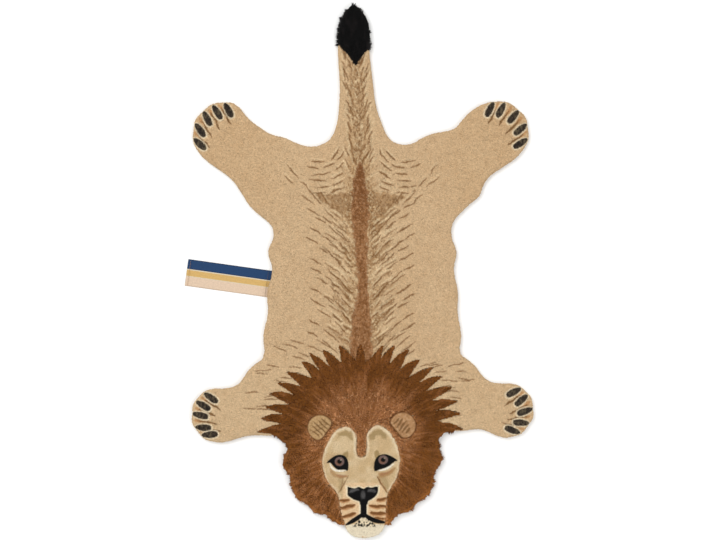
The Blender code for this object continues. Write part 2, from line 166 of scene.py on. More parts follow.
# ---- ribbon label, as its solid has it, and its stripes from the edge on the tail's side ---------
LABEL_END = np.array((-329.0, -4.3))    # middle of its outer end
LABEL_TURN = -8.0
LABEL_LENGTH, LABEL_WIDTH = 173.0, 50.0
LABEL_HEM = 7.0
LABEL_SEAM = 152.0          # how far along it is sewn to the pelt
RIBBON_THICK = 0.9
RIBBON_LOW, RIBBON_HIGH = 0.65, 1.75    # middle of the cloth, single and folded back
RIBBON_STEP = 1.25
RIBBON_RIPPLE, RIBBON_PICK = 0.12, 1.8  # how much its edges and face wave, and its picks' spacing
STITCH_STEP, STITCH_LENGTH, STITCH_RADIUS = 3.1, 2.3, 0.42
RIBBON_STRIPES = (
    # where it starts across the ribbon, colour
    (0.0, "1A3558"),
    (0.03, "22446E"),
    (0.33, "1C395F"),
    (0.36, "E9D9BC"),
    (0.40, "E2B972"),
    (0.62, "E9D9BC"),
    (0.65, "EED2B6"),
    (0.97, "DFC0A2"),
)
STITCHING = "B98A5E"
SEAM = "5A3D28"

# ---- colours that the pile shows -----------------------------------------------------------------
SAND = "CAAC86"
SAND_WARM = "C5A47B"
SAND_PALE = "D0B58F"
FUR_SHADE = "B08C62"
FUR_STROKE = "805B35"
FUR_LIGHT = "E0C9A2"
WING = "A4825C"
WING_DARK = "84603A"
SPINE = "966840"
SPINE_PALE = "B58A63"
SPINE_DARK = "784C28"
CLAW = "3A3128"
CLAW_WORN = "6A5E48"
TOE = "7C5A35"
TOE_WARM = "B98A5A"
MANE_DARK = "683E16"
MANE_DEEP = "54300A"
MANE_MID = "80522C"
MANE_LIGHT = "92643F"
MANE_PALE_AND_GLINT = "B98C62"
MANE_RIM_GLOW = "96602A"
BLACK = "0C0B0B"
BLACK_HIGHLIGHT = "201C1B"
EAR_STROKE = "704E2C"
FACE_TAN = "CDB38A"
CREAM = "EADBBC"
EYE_WHITE = "ECE4D2"
BROW = "A58C60"
IRIS = "75605A"
IRIS_WARM = "7F5743"
NOSE_SHINE = "605E5D"
WHISKER = "754A24"
WHISKER_WARM = "BC8A5A"
MUZZLE = "E2C49C"
UNDER_EYE = "B08A5C"
PINK_BROWN = "A67654"
CHIN = "E4D8BF"


def linear(colour):
    """sRGB hex value as linear red, green and blue."""
    parts = np.array([int(colour[at:at + 2], 16) for at in (0, 2, 4)]) / 255
    return np.where(parts <= 0.04045, parts / 12.92, ((parts + 0.055) / 1.055) ** 2.4)


# ---- small sums on arrays of points --------------------------------------------------------------
def smooth(low, high, value):
    share = np.clip((value - low) / (high - low), 0, 1)
    return share * share * (3 - 2 * share)


def uneven(points, size, seed):
    """Smooth noise from -1 to 1, with one random value at each step of a lattice."""
    cell = points / np.asarray(size, float)
    base = np.floor(cell).astype(np.int64)
    ease = smooth(0, 1, cell - base)
    total = np.zeros(len(points))
    for corner in ((0, 0), (1, 0), (0, 1), (1, 1)):
        at = base + corner
        code = at[:, 0] * 374761393 + at[:, 1] * 668265263 + seed * 982451653
        code = (code ^ (code >> 13)) * 1274126177
        value = ((code ^ (code >> 16)) & 0xFFFF) / 32767.5 - 1
        weight = np.where(corner, ease, 1 - ease).prod(axis=1)
        total += weight * value
    return total


def round_loop(points, steps=5):
    """Closed smooth outline through a few points."""
    knots = np.array(points, float)
    before, after, beyond = (np.roll(knots, shift, 0) for shift in (1, -1, -2))
    parts = []
    for share in np.arange(steps) / steps:
        parts.append(0.5 * (
            2 * knots + (after - before) * share
            + (2 * before - 5 * knots + 4 * after - beyond) * share ** 2
            + (3 * knots - before - 3 * after + beyond) * share ** 3
        ))
    return np.stack(parts, 1).reshape(-1, 2)


def inside_by(loop, points):
    """How far points lie inside a closed outline, below 0 outside it."""
    nearest = np.full(len(points), np.inf)
    inside = np.zeros(len(points), bool)
    for here, there in zip(loop, np.roll(loop, -1, 0)):
        run = there - here
        if not run.any():
            continue
        share = np.clip((points - here) @ run / (run @ run), 0, 1)
        away = points - here - share[:, None] * run
        nearest = np.minimum(nearest, (away * away).sum(1))
        between = (here[1] > points[:, 1]) != (there[1] > points[:, 1])
        if between.any():
            cross = here[0] + (points[:, 1] - here[1]) * run[0] / run[1]
            inside ^= between & (points[:, 0] < cross)
    return np.where(inside, 1, -1) * np.sqrt(nearest)


def face_loop():
    rows = np.array(FACE, float)
    left, right = rows[:, (1, 0)], rows[:, (2, 0)]
    return round_loop([*left, *right[::-1], *FACE_BROWS])


def ear_loop(ear):
    points = []
    for turn in range(0, 360, 24):
        facing = math.cos(math.radians(turn - ear["turn"]))
        reach = ear["flat"] / facing if facing * ear["radius"] > ear["flat"] else ear["radius"]
        points.append(polar(ear["middle"], turn, reach))
    return round_loop(points)


def tail_tuft_loop():
    rows = np.array(TAIL_TUFT, float)
    return round_loop([*rows[:, (1, 0)], *rows[1:-1, (2, 0)][::-1]])


def polar(middle, degrees, reach):
    turn = math.radians(degrees)
    return (middle[0] + reach * math.cos(turn), middle[1] + reach * math.sin(turn))


# ---- painting: yarn colours laid over a set of points --------------------------------------------
class Dye:
    """Colours and clipped depth of a set of points, laid on in order."""

    def __init__(self, points, ground):
        self.points = points
        self.colour = np.tile(linear(ground), (len(points), 1))
        self.sunk = np.zeros(len(points))
        self.order = np.argsort(points[:, 1])
        self.rows = points[self.order, 1]

    def near(self, shape, margin):
        """The points in the box round a shape."""
        low, high = shape.min(0) - margin, shape.max(0) + margin
        first, last = np.searchsorted(self.rows, (low[1], high[1]))
        found = self.order[first:last]
        across = self.points[found, 0]
        return found[(across > low[0]) & (across < high[0])]

    def lay(self, cover, colour, at=slice(None), sunk=0.0):
        cover = np.broadcast_to(cover, self.sunk[at].shape)
        self.colour[at] += cover[:, None] * (linear(colour) - self.colour[at])
        self.sunk[at] = np.maximum(self.sunk[at], cover * sunk)

    def fill(self, cover, colour, strength, at, sunk):
        """Lay a shape, and hand back its points and how far each is in it."""
        self.lay(strength * cover, colour, at, sunk)
        return at, cover

    def two_tone(self, noise, light, dark, cover, between=(0.1, 0.7), at=slice(None)):
        """Lay one yarn where the noise is high, and another where it is low."""
        self.lay(cover * smooth(*between, noise), light, at)
        self.lay(cover * smooth(*between, -noise), dark, at)

    def speckle(self, shape, size, light, dark, strength):
        """Single tufts of a lighter and of a darker yarn in a shape that is laid."""
        at, cover = shape
        self.two_tone(uneven(self.points[at], size, 46), light, dark, strength * cover, at=at)

    def patch(self, outline, colour, strength=1.0, soft=1.0, sunk=0.0, ragged=0.0):
        """Fill a smooth closed outline."""
        loop = round_loop(outline)
        at = self.near(loop, soft + ragged)
        depth = inside_by(loop, self.points[at])
        depth += ragged * uneven(self.points[at], 5, 3)
        return self.fill(smooth(-soft, soft, depth), colour, strength, at, sunk)

    def blob(self, middle, half, turn, colour, strength=1.0, soft=0.8, sunk=0.0):
        """Fill an ellipse."""
        middle = np.array(middle, float)
        at = self.near(middle[None], max(half) + soft)
        along = np.array((math.cos(math.radians(turn)), math.sin(math.radians(turn))))
        away = self.points[at] - middle
        share = np.hypot(away @ along / half[0], away @ (-along[1], along[0]) / half[1])
        cover = smooth(-soft, soft, (1 - share) * min(half))
        return self.fill(cover, colour, strength, at, sunk)

    def drop(self, tip, root, width, colour, strength=1.0, soft=0.6, sunk=0.0):
        """Fill a bean, sharper at its tip than at its root."""
        tip, root = np.array(tip, float), np.array(root, float)
        at = self.near(np.array((tip, root)), width)
        run = root - tip
        away = self.points[at] - tip
        share = np.clip(away @ run / (run @ run), 0, 1)
        aside = np.linalg.norm(away - share[:, None] * run, axis=1)
        # widest, at 1, a little beyond the middle
        full = share ** 0.5 * (1 - share) ** 0.35 / 0.562
        aside = aside + 0.5 * uneven(self.points[at], 3, 4)
        cover = smooth(-soft, soft, width * full / 2 - aside)
        return self.fill(cover, colour, strength, at, sunk)

    def line(self, knots, width, colour, strength=1.0, soft=0.5, sunk=0.0, taper=True, wobble=0.0):
        """A bent stroke through three points, thin at both ends."""
        start, middle, end = (np.array(knot, float) for knot in knots)
        shares = np.linspace(0, 1, 8)[:, None]
        path = (1 - shares) ** 2 * start + 2 * shares * (1 - shares) * middle + shares ** 2 * end
        at = self.near(path, width + wobble)
        points = self.points[at]
        beads = 0.0
        if wobble:
            beads = 0.4 * wobble * uneven(points, 2.6, 5)
            points = points + wobble * np.stack([uneven(points, 9, seed) for seed in (1, 2)], 1)
        cover = np.zeros(len(at))
        for step, (here, there) in enumerate(zip(path[:-1], path[1:])):
            run = there - here
            share = np.clip((points - here) @ run / max(run @ run, 1e-9), 0, 1)
            away = np.linalg.norm(points - here - share[:, None] * run, axis=1) + beads
            full = np.sin(np.pi * (step + share) / 7) ** 0.5 if taper else 1.0
            cover = np.maximum(cover, smooth(-soft, soft, width * full / 2 - away))
        return self.fill(cover, colour, strength, at, sunk)


def curve_between(rows, y):
    """Left and right edge at each y, from a table of (y, left, right)."""
    table = np.array(sorted(rows), float)
    return np.interp(y, table[:, 0], table[:, 1]), np.interp(y, table[:, 0], table[:, 2])


def inside_band(rows, points):
    """How far points lie inside the band of such a table, below 0 outside it."""
    left, right = curve_between(rows, points[:, 1])
    return np.minimum(points[:, 0] - left, right - points[:, 0])


def by_tuft(points):
    """Noise as fine as single tufts of the hide."""
    return uneven(points, 2.3, 43)


# ---- the hide: fur drawn in darker and lighter yarn ----------------------------------------------
SPINE_BAND = (
    # y, left, right
    (206, -5, -3),
    (190, -10, 2),
    (176, -14, 5),
    (153, -18, 10),
    (131, -20, 13),
    (99, -22, 13),
    (75, -17, 11),
    (45, -14, 12),
    (0, -10, 11),
    (-37, -9, 11),
    (-63, -12, 15),
    (-86, -18, 17),
    (-112, -22, 19),
    (-134, -22, 17),
    (-160, -24, 20),
)
TAIL_BAND = (
    # y, left, right
    (430, -21, -7),
    (399, -28, -1),
    (347, -28, 8),
    (310, -30, 12),
    (272, -30, 17),
    (236, -31, 20),
    (205, -26, 16),
    (180, -24, 14),
)
SHADE_BAND = (
    # y, left, right
    (230, -20, 14),
    (180, -27, 18),
    (120, -36, 33),
    (60, -31, 30),
    (0, -26, 27),
    (-60, -31, 34),
    (-110, -37, 36),
    (-160, -34, 30),
)
HIP_WINGS = (
    ((-85, 137), (-58, 140), (-28, 146), (-13, 150), (-12, 112), (-16, 70), (-24, 96), (-52, 112)),
    ((9, 168), (22, 150), (50, 143), (78, 137), (60, 118), (42, 98), (25, 64), (12, 84)),
)
TONGUES = (
    # tip, root, width: darker tongues of fur from the spine's side, out and back
    ((50, 50), (15, 12), 19),
    ((61, -24), (16, -52), 15),
    ((58, -48), (20, -112), 19),
    ((52, -116), (22, -134), 10),
    ((-42, 60), (-15, 28), 17),
    ((-46, -16), (-17, -48), 16),
    ((-52, -48), (-20, -84), 17),
    ((-60, -106), (-24, -136), 13),
)
FUR_ROWS = (
    # how far out a row of strokes starts, and how far in it ends
    (101, 24),
    (62, 22),
    (84, 26),
    (56, 20),
    (97, 19),
    (68, 24),
)
FUR_PITCH = 9.6
FUR_WOBBLE = 1.6            # how unevenly a stroke is tufted
FUR_FALL = 0.84             # how far a row falls for each millimetre inwards
HIP_WHORL = (82, 242)       # the fur turns round this point on both hips
HIP_ARCS = (42, 52, 64, 76, 88, 99)
HIP_ROWS = (
    # out, up, in, down: rows of strokes beyond the arcs
    (141, 197, 94, 145),
    (146, 176, 121, 155),
    (98, 148, 34, 78),
    (113, 141, 86, 121),
    (78, 146, 58, 120),
)


def bezier_point(knots, share):
    start, middle, end = knots
    return (1 - share) ** 2 * start + 2 * share * (1 - share) * middle + share ** 2 * end


def paint_row(dye, draws, knots, pale=0.0, lengths=(22, 46), gaps=(4, 11), width=3.0):
    """A broken row of strokes, each with a pale one above it if the row is to have them."""
    knots = np.array(knots, float)
    run = np.linalg.norm(knots[2] - knots[0])
    first = 0.0
    while first < 0.92:
        last = min(first + draws.uniform(*lengths) / run, 1.0)
        piece = np.array([bezier_point(knots, share)
                          for share in (first, (first + last) / 2, last)])
        piece += draws.uniform(-1.2, 1.2, 2)
        piece[1] += draws.uniform(-1.8, 1.8, 2)
        dye.line(piece, width, FUR_STROKE, 0.85 - 0.2 * pale, sunk=0.5, wobble=FUR_WOBBLE)
        dye.line(piece + (0, 5.0), 3.0, FUR_LIGHT, 0.55 * pale, wobble=FUR_WOBBLE)
        first = last + draws.uniform(*gaps) / run


def paint_fur(dye):
    """Rows of strokes that run in and down to the spine, steeper the nearer they come to it."""
    draws = np.random.default_rng(5)
    for side in (-1, 1):
        y_out = 122.0 + 5 * side
        row = 0
        while y_out > -116:
            outer, inner = np.array(FUR_ROWS[row % len(FUR_ROWS)]) + draws.uniform(-5, 5, 2)
            run, fall = outer - inner, FUR_FALL * (outer - inner)
            start, bow = (outer, y_out), (outer - 0.5 * run, y_out - 0.25 * fall)
            knots = np.array((start, bow, (inner, y_out - fall))) * (side, 1)
            paint_row(dye, draws, knots, float(smooth(100, 60, outer)), (24, 44), (3, 9))
            y_out -= FUR_PITCH * draws.uniform(0.8, 1.2)
            row += 1


def paint_flecks(dye):
    """Short dark and pale flecks in the lie of the fur, close by the spine."""
    draws = np.random.default_rng(7)
    for number in range(520):
        side = (-1, 1)[number % 2]
        foot = np.array((12 + 46 * draws.random() ** 1.7, draws.uniform(-150, 196)))
        lie = math.radians(draws.uniform(44, 76))
        run = draws.uniform(2, 7) * np.array((math.cos(lie), math.sin(lie)))
        colour, strength = ((FUR_STROKE, 0.55), (FUR_LIGHT, 0.45), (WING_DARK, 0.6))[number % 3]
        dye.line(np.array((foot, foot + run / 2, foot + run)) * (side, 1), 2.1, colour, strength,
                 wobble=1.0)


def paint_hips(dye):
    """Arcs round the whorl on each hip from the tail outwards, and straight rows beyond them."""
    draws = np.random.default_rng(6)
    for side in (-1, 1):
        for ring, reach in enumerate(HIP_ARCS):
            clear_of_tail = 180 + math.degrees(math.acos(min((HIP_WHORL[0] - 30) / reach, 1)))
            turn = max(198, clear_of_tail) + draws.uniform(0, 6)
            stop = (262, 282, 270, 280, 272, 266)[ring]
            while turn < stop:
                sweep = math.degrees(draws.uniform(22, 34) / reach)
                knots = np.array([polar(HIP_WHORL, at, reach + draws.uniform(-1.2, 1.2))
                                  for at in (turn, turn + sweep / 2, turn + sweep)]) * (side, 1)
                dye.line(knots, 3.1, FUR_STROKE, 0.85, sunk=0.5, wobble=FUR_WOBBLE)
                dye.line(knots + (0, 4.8), 2.8, FUR_LIGHT, 0.45 * float(smooth(280, 225, turn)),
                         wobble=FUR_WOBBLE)
                turn += sweep + math.degrees(draws.uniform(5, 10) / reach)
        for out, up, inner, down in HIP_ROWS:
            bow = (0.5 * (out + inner) + 2, 0.5 * (up + down) - 3)
            paint_row(dye, draws, np.array(((out, up), bow, (inner, down))) * (side, 1), 0.5)


def paint_shoulders(dye):
    """Strokes out from under the mane, steep by the neck and level on the shoulders."""
    draws = np.random.default_rng(8)
    for side in (-1, 1):
        for turn in np.arange(17, 72, 4.1):
            for reach, kept in ((176, 0.8), (208, 0.6)):
                if draws.random() > kept or reach > 200 and turn > 60:
                    continue
                start = np.array(polar(MANE_CENTRE, turn + draws.uniform(-1.5, 1.5),
                                       reach + draws.uniform(-4, 10)))
                slope = math.radians(max(1.0 * turn - 34, 0) + draws.uniform(-9, 7))
                run = draws.uniform(22, 38) * np.array((math.cos(slope), math.sin(slope)))
                bow = start + run / 2 + (0, draws.uniform(-2.0, 2.5))
                knots = np.array((start, bow, start + run)) * (side, 1)
                dye.line(knots, 2.8, FUR_STROKE, 0.75, sunk=0.4, wobble=FUR_WOBBLE)


def paint_tail(dye):
    """Brindled middle between plain edges, and strokes that slant in and down to it."""
    y = dye.points[:, 1]
    inside = inside_band(TAIL_BAND, dye.points)
    streak = uneven(dye.points, (4.5, 20), 21)
    on_tail = smooth(150, 196, y) * smooth(440, 420, y)
    dye.lay(0.5 * on_tail * smooth(-3, 9, inside + 4 * streak), FUR_SHADE)
    dye.lay(0.3 * on_tail * smooth(8, 18, inside + 5 * streak), WING)
    draws = np.random.default_rng(9)
    for low in np.arange(188, 402, 7.2):
        for side in (-1, 1):
            foot = np.array((np.mean(curve_between(TAIL_BAND, low)) + side * draws.uniform(5, 20),
                             low + draws.uniform(-3, 3)))
            lean = math.radians(draws.uniform(14, 30))
            long = draws.uniform(14, 28) * float(smooth(430, 330, low) * 0.4 + 0.6)
            run = long * np.array((side * math.sin(lean), math.cos(lean)))
            knots = np.array((foot, foot + run / 2 - (1.5 * side, 0), foot + run))
            dye.line(knots, 2.8, FUR_STROKE, 0.75, sunk=0.4, wobble=FUR_WOBBLE)
            dye.line(knots + (4.6 * side, 0), 2.6, FUR_LIGHT, 0.45, wobble=FUR_WOBBLE)
    for number in range(480):
        low = draws.uniform(176, 412)
        foot = np.array((np.mean(curve_between(TAIL_BAND, low)) + draws.normal(0, 6.5), low))
        lean = math.radians(draws.uniform(-40, 40))
        run = draws.uniform(3, 9) * np.array((math.sin(lean), math.cos(lean)))
        colour, strength = ((FUR_STROKE, 0.7), (FUR_LIGHT, 0.5), (WING_DARK, 0.5))[number % 3]
        dye.line((foot, foot + run / 2, foot + run), 1.9, colour, strength, wobble=1.4)


def paint_paws(dye):
    """Five dark claws on each paw, edged in pale yarn, with brown lines between the toes."""
    for paw in PAWS:
        tips = [(np.array(polar(paw["middle"], turn, paw["radius"] - 1)), turn, way)
                for turn, way in paw["claws"]]
        for (_, turn, way), (_, next_turn, next_way) in zip(tips[:-1], tips[1:]):
            halfway = way + ((next_way - way + 180) % 360 - 180) / 2
            start = polar(paw["middle"], (turn + next_turn) / 2, paw["radius"] - 3)
            knots = [polar(start, halfway, reach) for reach in (0, 10, 20)]
            dye.line(knots, 6.5, TOE_WARM, 0.8, wobble=1.8)
            knots = [polar(start, halfway, reach) for reach in (8, 26, 45)]
            dye.line(knots, 4.0, TOE, 0.95, sunk=0.5, wobble=1.8)
        for tip, _, way in tips:
            dye.drop(polar(tip, way, -1.5), polar(tip, way, CLAW_LENGTH + 3), CLAW_WIDTH + 5,
                     CREAM, 0.6)
            claw = dye.drop(tip, polar(tip, way, CLAW_LENGTH), CLAW_WIDTH, CLAW, sunk=0.6)
            dye.speckle(claw, (2.4, 3.6), CLAW_WORN, BLACK, 0.6)


def paint_coat(dye):
    """Sand coloured wool, warmer on the hind legs, and paler on the fore legs and by the mane."""
    x, y = dye.points.T
    away = abs(x)
    dye.lay(0.45 * smooth(110, 210, away) * smooth(60, 160, y), SAND_WARM)
    dye.lay(0.5 * smooth(90, 170, away) * smooth(-130, -230, y), SAND_PALE)
    dye.two_tone(uneven(dye.points, 70, 31), SAND_PALE, SAND_WARM, 0.2, (-0.2, 0.9))
    reach = np.hypot(*(dye.points - MANE_CENTRE).T)
    dye.lay(0.35 * smooth(196, 172, reach), FUR_LIGHT)


def paint_back(dye):
    """Brindled fur on both sides of the spine, with two darker wings on the hips and darker
    tongues further down."""
    x, y = dye.points.T
    away = abs(x)
    # hair lies along lines that run in and down to the spine
    along = 0.77 * away + 0.64 * y
    across = -0.64 * away + 0.77 * y
    hair = uneven(np.stack((along, across), 1), (30, 4.4), 41)
    middle = smooth(92, 30, away) * smooth(215, 150, y)
    dye.two_tone(hair, FUR_SHADE, FUR_LIGHT, 0.42 * middle, (0.05, 0.8))
    beside = smooth(-8, 9, inside_band(SHADE_BAND, dye.points) + 7 * hair) * smooth(225, 190, y)
    dye.lay(0.6 * beside, FUR_SHADE)
    mottle = uneven(dye.points, 8, 44)
    dye.lay(0.12 * smooth(0, 0.9, mottle), SAND_PALE)
    dye.lay(0.16 * smooth(0, 0.9, -mottle), FUR_SHADE)
    dye.lay(0.4 * beside * smooth(0.1, 0.8, -hair), FUR_LIGHT)
    for outline in HIP_WINGS:
        wing = dye.patch(outline, WING, 0.85, soft=2.5, ragged=4)
        dye.speckle(wing, (2.6, 4.5), FUR_SHADE, WING_DARK, 0.75)
    for tip, root, width in TONGUES:
        tip, root = np.array(tip, float), np.array(root, float)
        bow = (tip + root) / 2 + (0, -0.3 * width)
        tongue = dye.line((tip, bow, root), width, WING, 0.45, soft=3.0, wobble=3.0)
        dye.speckle(tongue, (2.6, 4.5), FUR_SHADE, WING_DARK, 0.5)
    speck = by_tuft(dye.points)
    dye.lay(0.5 * beside * smooth(0.2, 0.8, speck), FUR_LIGHT)
    dye.lay(0.6 * beside * smooth(0.2, 0.8, -speck), WING_DARK)


def paint_spine(dye):
    """Brown stripe down the spine, darkest over the hips, with single pale tufts at its edges."""
    y = dye.points[:, 1]
    inside = inside_band(SPINE_BAND, dye.points) + 2.6 * uneven(dye.points, (4, 8), 51)
    below_tail = smooth(206, 196, y)
    dye.lay(0.94 * below_tail * smooth(-2, 2, inside), SPINE)
    stripe = below_tail * smooth(-1, 2, inside)
    dye.lay(0.7 * stripe * smooth(-0.1, 0.7, uneven(dye.points, (3, 12), 52)), SPINE_DARK)
    dye.lay(0.8 * stripe * smooth(50, 170, y), SPINE_DARK)
    speck = by_tuft(dye.points)
    dye.lay(0.7 * stripe * smooth(0.1, 0.7, speck), SPINE_DARK)
    dye.lay(0.6 * stripe * smooth(0.1, 0.7, -speck), SPINE_PALE)
    edge = below_tail * smooth(5, 1, inside) * smooth(-3, -1, inside)
    dye.lay(0.35 * edge * smooth(0, 0.8, speck), FUR_LIGHT)


def paint_hide(dye):
    for paint in (paint_coat, paint_back, paint_flecks, paint_fur, paint_hips, paint_shoulders,
                  paint_tail, paint_spine, paint_paws):
        paint(dye)


# ---- the head ------------------------------------------------------------------------------------
def paint_mane(dye):
    """Dark points and outer ring, paler towards the face, in streaks that run outwards."""
    away = dye.points - MANE_CENTRE
    reach = np.hypot(*away.T)
    turn = np.arctan2(away[:, 1], away[:, 0])
    lie = np.stack((turn * 130, reach), 1)
    broad, streak, fine = (uneven(lie, size, seed)
                           for size, seed in (((17, 70), 60), ((6.5, 34), 61), ((2.8, 13), 62)))
    top = smooth(-0.5, 0.1, np.sin(turn))
    ragged = reach + 16 * streak + 12 * broad
    dye.lay(0.85 * smooth(0.0, 0.6, fine), MANE_LIGHT)
    dye.lay(0.75 * smooth(0.0, 0.6, -fine), MANE_DARK)
    dye.lay(0.6 * top * smooth(124, 76, ragged), MANE_LIGHT)
    dye.lay(0.5 * top * smooth(0.15, 0.8, -streak) * smooth(124, 90, reach), MANE_DARK)
    dye.lay(0.93 * top * smooth(98, 130, ragged), MANE_DARK)
    dye.lay(0.4 * top * smooth(98, 130, ragged) * smooth(0.85, 0.5, np.sin(turn)), MANE_DEEP)
    dye.lay(0.55 * top * smooth(98, 130, ragged) * smooth(0.1, 0.7, fine), MANE_MID)
    low = (1 - top) * smooth(95, 120, reach + 10 * streak)
    dye.lay(0.3 * low + 0.4 * low * smooth(0, 60, away[:, 0]), MANE_DARK)
    dye.lay(0.4 * (1 - top) * smooth(0, 0.8, streak), MANE_DARK)
    dye.lay(0.35 * (1 - top) * smooth(0.1, 0.9, -streak), MANE_MID)
    # painted light: the lower mane's rim glows orange where light comes through its loose yarn
    dye.lay(0.6 * (1 - top) * smooth(148, 168, reach + 6 * streak), MANE_RIM_GLOW)
    pale_and_glint_specks = uneven(dye.points, 2.2, 63) + 0.35 * uneven(dye.points, 26, 64)
    # painted glints: light specks on the upper mane near the face
    dye.lay(0.6 * smooth(112, 84, reach) * top * smooth(0.4, 0.8, pale_and_glint_specks), MANE_PALE_AND_GLINT)
    # the first yarns by the face are paler, and palest in the forelock
    beside = smooth(-7, -1, inside_by(face_loop(), dye.points) + 3 * fine)
    dye.lay(0.35 * beside, MANE_PALE_AND_GLINT)
    lock = smooth(20, 12, abs(away[:, 0])) * smooth(0, -22, away[:, 1])
    dye.lay(0.3 * lock * smooth(-0.4, 0.5, pale_and_glint_specks), MANE_PALE_AND_GLINT)


def paint_ears(dye):
    """Clipped tan ears in a thin dark rim, with slanted strokes on them."""
    draws = np.random.default_rng(12)
    for ear in EARS:
        loop = ear_loop(ear)
        at = dye.near(loop, 4)
        depth = inside_by(loop, dye.points[at])
        dye.lay(smooth(-0.6, 0.6, depth), ear["yarn"], at)
        dye.speckle((at, smooth(0, 2, depth)), (3, 3), FUR_LIGHT, EAR_STROKE, 0.22)
        dye.lay(0.7 * smooth(2.4, 0.9, depth), MANE_MID, at)
        along = np.array(polar((0, 0), ear["slant"], 1))
        beside = np.array(polar((0, 0), ear["slant"] + 90, 1))
        for step in np.linspace(-14, 14, ear["strokes"]):
            middle = np.array(ear["middle"]) + beside * step + along * draws.uniform(-2, 2)
            half = along * (ear["stroke"] / 2 - 0.4 * abs(step)) + beside * draws.uniform(-1, 1)
            dye.line((middle - half, middle, middle + half), ear["stroke_width"], EAR_STROKE,
                     0.75, sunk=0.5, wobble=0.9)
    for step in (-9, 1):
        foot = np.array((-97, -296 + step))
        dye.line((foot, foot + (18, 7), foot + (34, 9 - step)), 2.0, EAR_STROKE, 0.5)


def paint_eye(dye, iris, lid, white):
    """Black lids round a brown iris, and a white line below it."""
    dye.patch(lid, BLACK, soft=0.6, sunk=0.8)
    dye.line(white, 4.0, EYE_WHITE, soft=0.6, sunk=0.2)
    dye.blob(iris, (8.8, 8.4), 0, IRIS, soft=0.8)
    dye.blob((iris[0] - 1.5, iris[1] - 2), (6.0, 5.4), 0, IRIS_WARM, 0.8, soft=1.6)
    dye.blob(iris, (4.4, 4.2), 0, BLACK, soft=0.8)
    dye.blob((iris[0] + 2.6, iris[1] + 3.0), (1.3, 1.1), 0, CREAM, 0.5, soft=0.6)


FACE_PATCHES = (
    # outline, strength, softness and raggedness of the olive patches
    # arches of the brows
    (((-48, -318), (-43, -304), (-31, -299), (-20, -303), (-16, -317), (-21, -318), (-30, -311),
      (-41, -312)), 0.85, 1.8, 2.6),
    (((13, -317), (17, -303), (30, -298), (42, -303), (46, -316), (40, -313), (29, -309),
      (20, -316)), 0.85, 1.8, 2.6),
    # corners over the eyes
    (((-37, -346), (-32, -340), (-26, -339), (-27, -350)), 0.95, 1.0, 0.0),
    (((33, -346), (29, -336), (23, -340), (25, -351)), 0.95, 1.0, 0.0),
    # tears beside the nose
    (((-44, -388), (-33, -386), (-34, -402), (-42, -413)), 0.5, 1.8, 2.0),
    (((31, -385), (45, -388), (51, -402), (45, -411), (38, -398)), 0.6, 1.8, 2.0),
)
FACE_LINES = (
    # three points, width, yarn, strength, softness and unevenness
    # down the tears
    (((-25, -382), (-33, -398), (-44, -417)), 2.8, WHISKER, 0.6, 0.5, 1.6),
    (((-38, -388), (-37, -400), (-39, -414)), 2.4, WHISKER, 0.4, 0.5, 1.6),
    (((29, -384), (36, -399), (48, -416)), 6.0, UNDER_EYE, 0.7, 1.4, 2.0),
    (((27, -383), (35, -399), (47, -416)), 3.4, WHISKER, 0.75, 0.5, 1.6),
    # under the eyes
    (((-61, -371), (-50, -391), (-27, -384)), 6.5, UNDER_EYE, 0.8, 1.6, 1.6),
    (((-48, -382), (-40, -386), (-27, -383)), 5.0, PINK_BROWN, 0.6, 1.4, 1.2),
    (((29, -381), (46, -387), (62, -368)), 8.5, UNDER_EYE, 0.95, 1.6, 1.6),
    (((31, -381), (42, -384), (57, -372)), 4.0, PINK_BROWN, 0.6, 1.4, 1.2),
)
EYES = (
    # middle of the iris, outline of the lids, white line below them
    ((-42, -357.4),
     ((-66, -359.5), (-56, -350), (-43, -344.6), (-31, -348), (-25.5, -359), (-26.5, -374),
      (-34, -372.5), (-45, -373), (-53.5, -366), (-59, -360)),
     ((-60, -360), (-56, -379.5), (-29, -373.5))),
    ((39.5, -354.2),
     ((66, -355), (55, -347.5), (43, -343.5), (30, -347), (23, -359), (23.5, -375),
      (34, -372), (47, -369), (55, -362), (61, -357.5)),
     ((29, -374.5), (48, -373), (60, -360.5))),
)
MUZZLE_OUTLINE = (
    (-31, -400), (2, -397), (34, -400), (45, -424), (48, -446), (44, -466), (3, -470),
    (-31, -472), (-40, -446), (-36, -424),
)
WHISKER_ROWS = (
    # x of the outer and of the inner end, y of the outer one, rise to the inner one, width
    (-43, -22, -430, 0, 4.6),
    (-43, -12, -444, 5, 5.6),
    (-38, -10, -461, 8, 6.2),
    (46, 26, -426, -3, 4.6),
    (48, 13, -442, 3, 5.6),
    (47, 14, -455, 2, 6.4),
    (44, 22, -464, 2, 3.4),
)
CHIN_OUTLINE = (
    (-30, -477), (-10, -474), (22, -474), (41, -476), (44, -486), (32, -500), (6, -507),
    (-20, -502), (-34, -488),
)
NOSE_OUTLINE = (
    (-27, -404), (-27, -404), (-20, -406), (-13, -407.5), (-6, -404.5), (3, -408), (10, -404.5),
    (18, -406), (24, -404), (30, -404.5), (30, -404.5), (29, -416), (22, -425), (12, -431),
    (9, -438), (-3, -438), (-5, -432), (-16, -428), (-26, -421), (-27, -414),
)


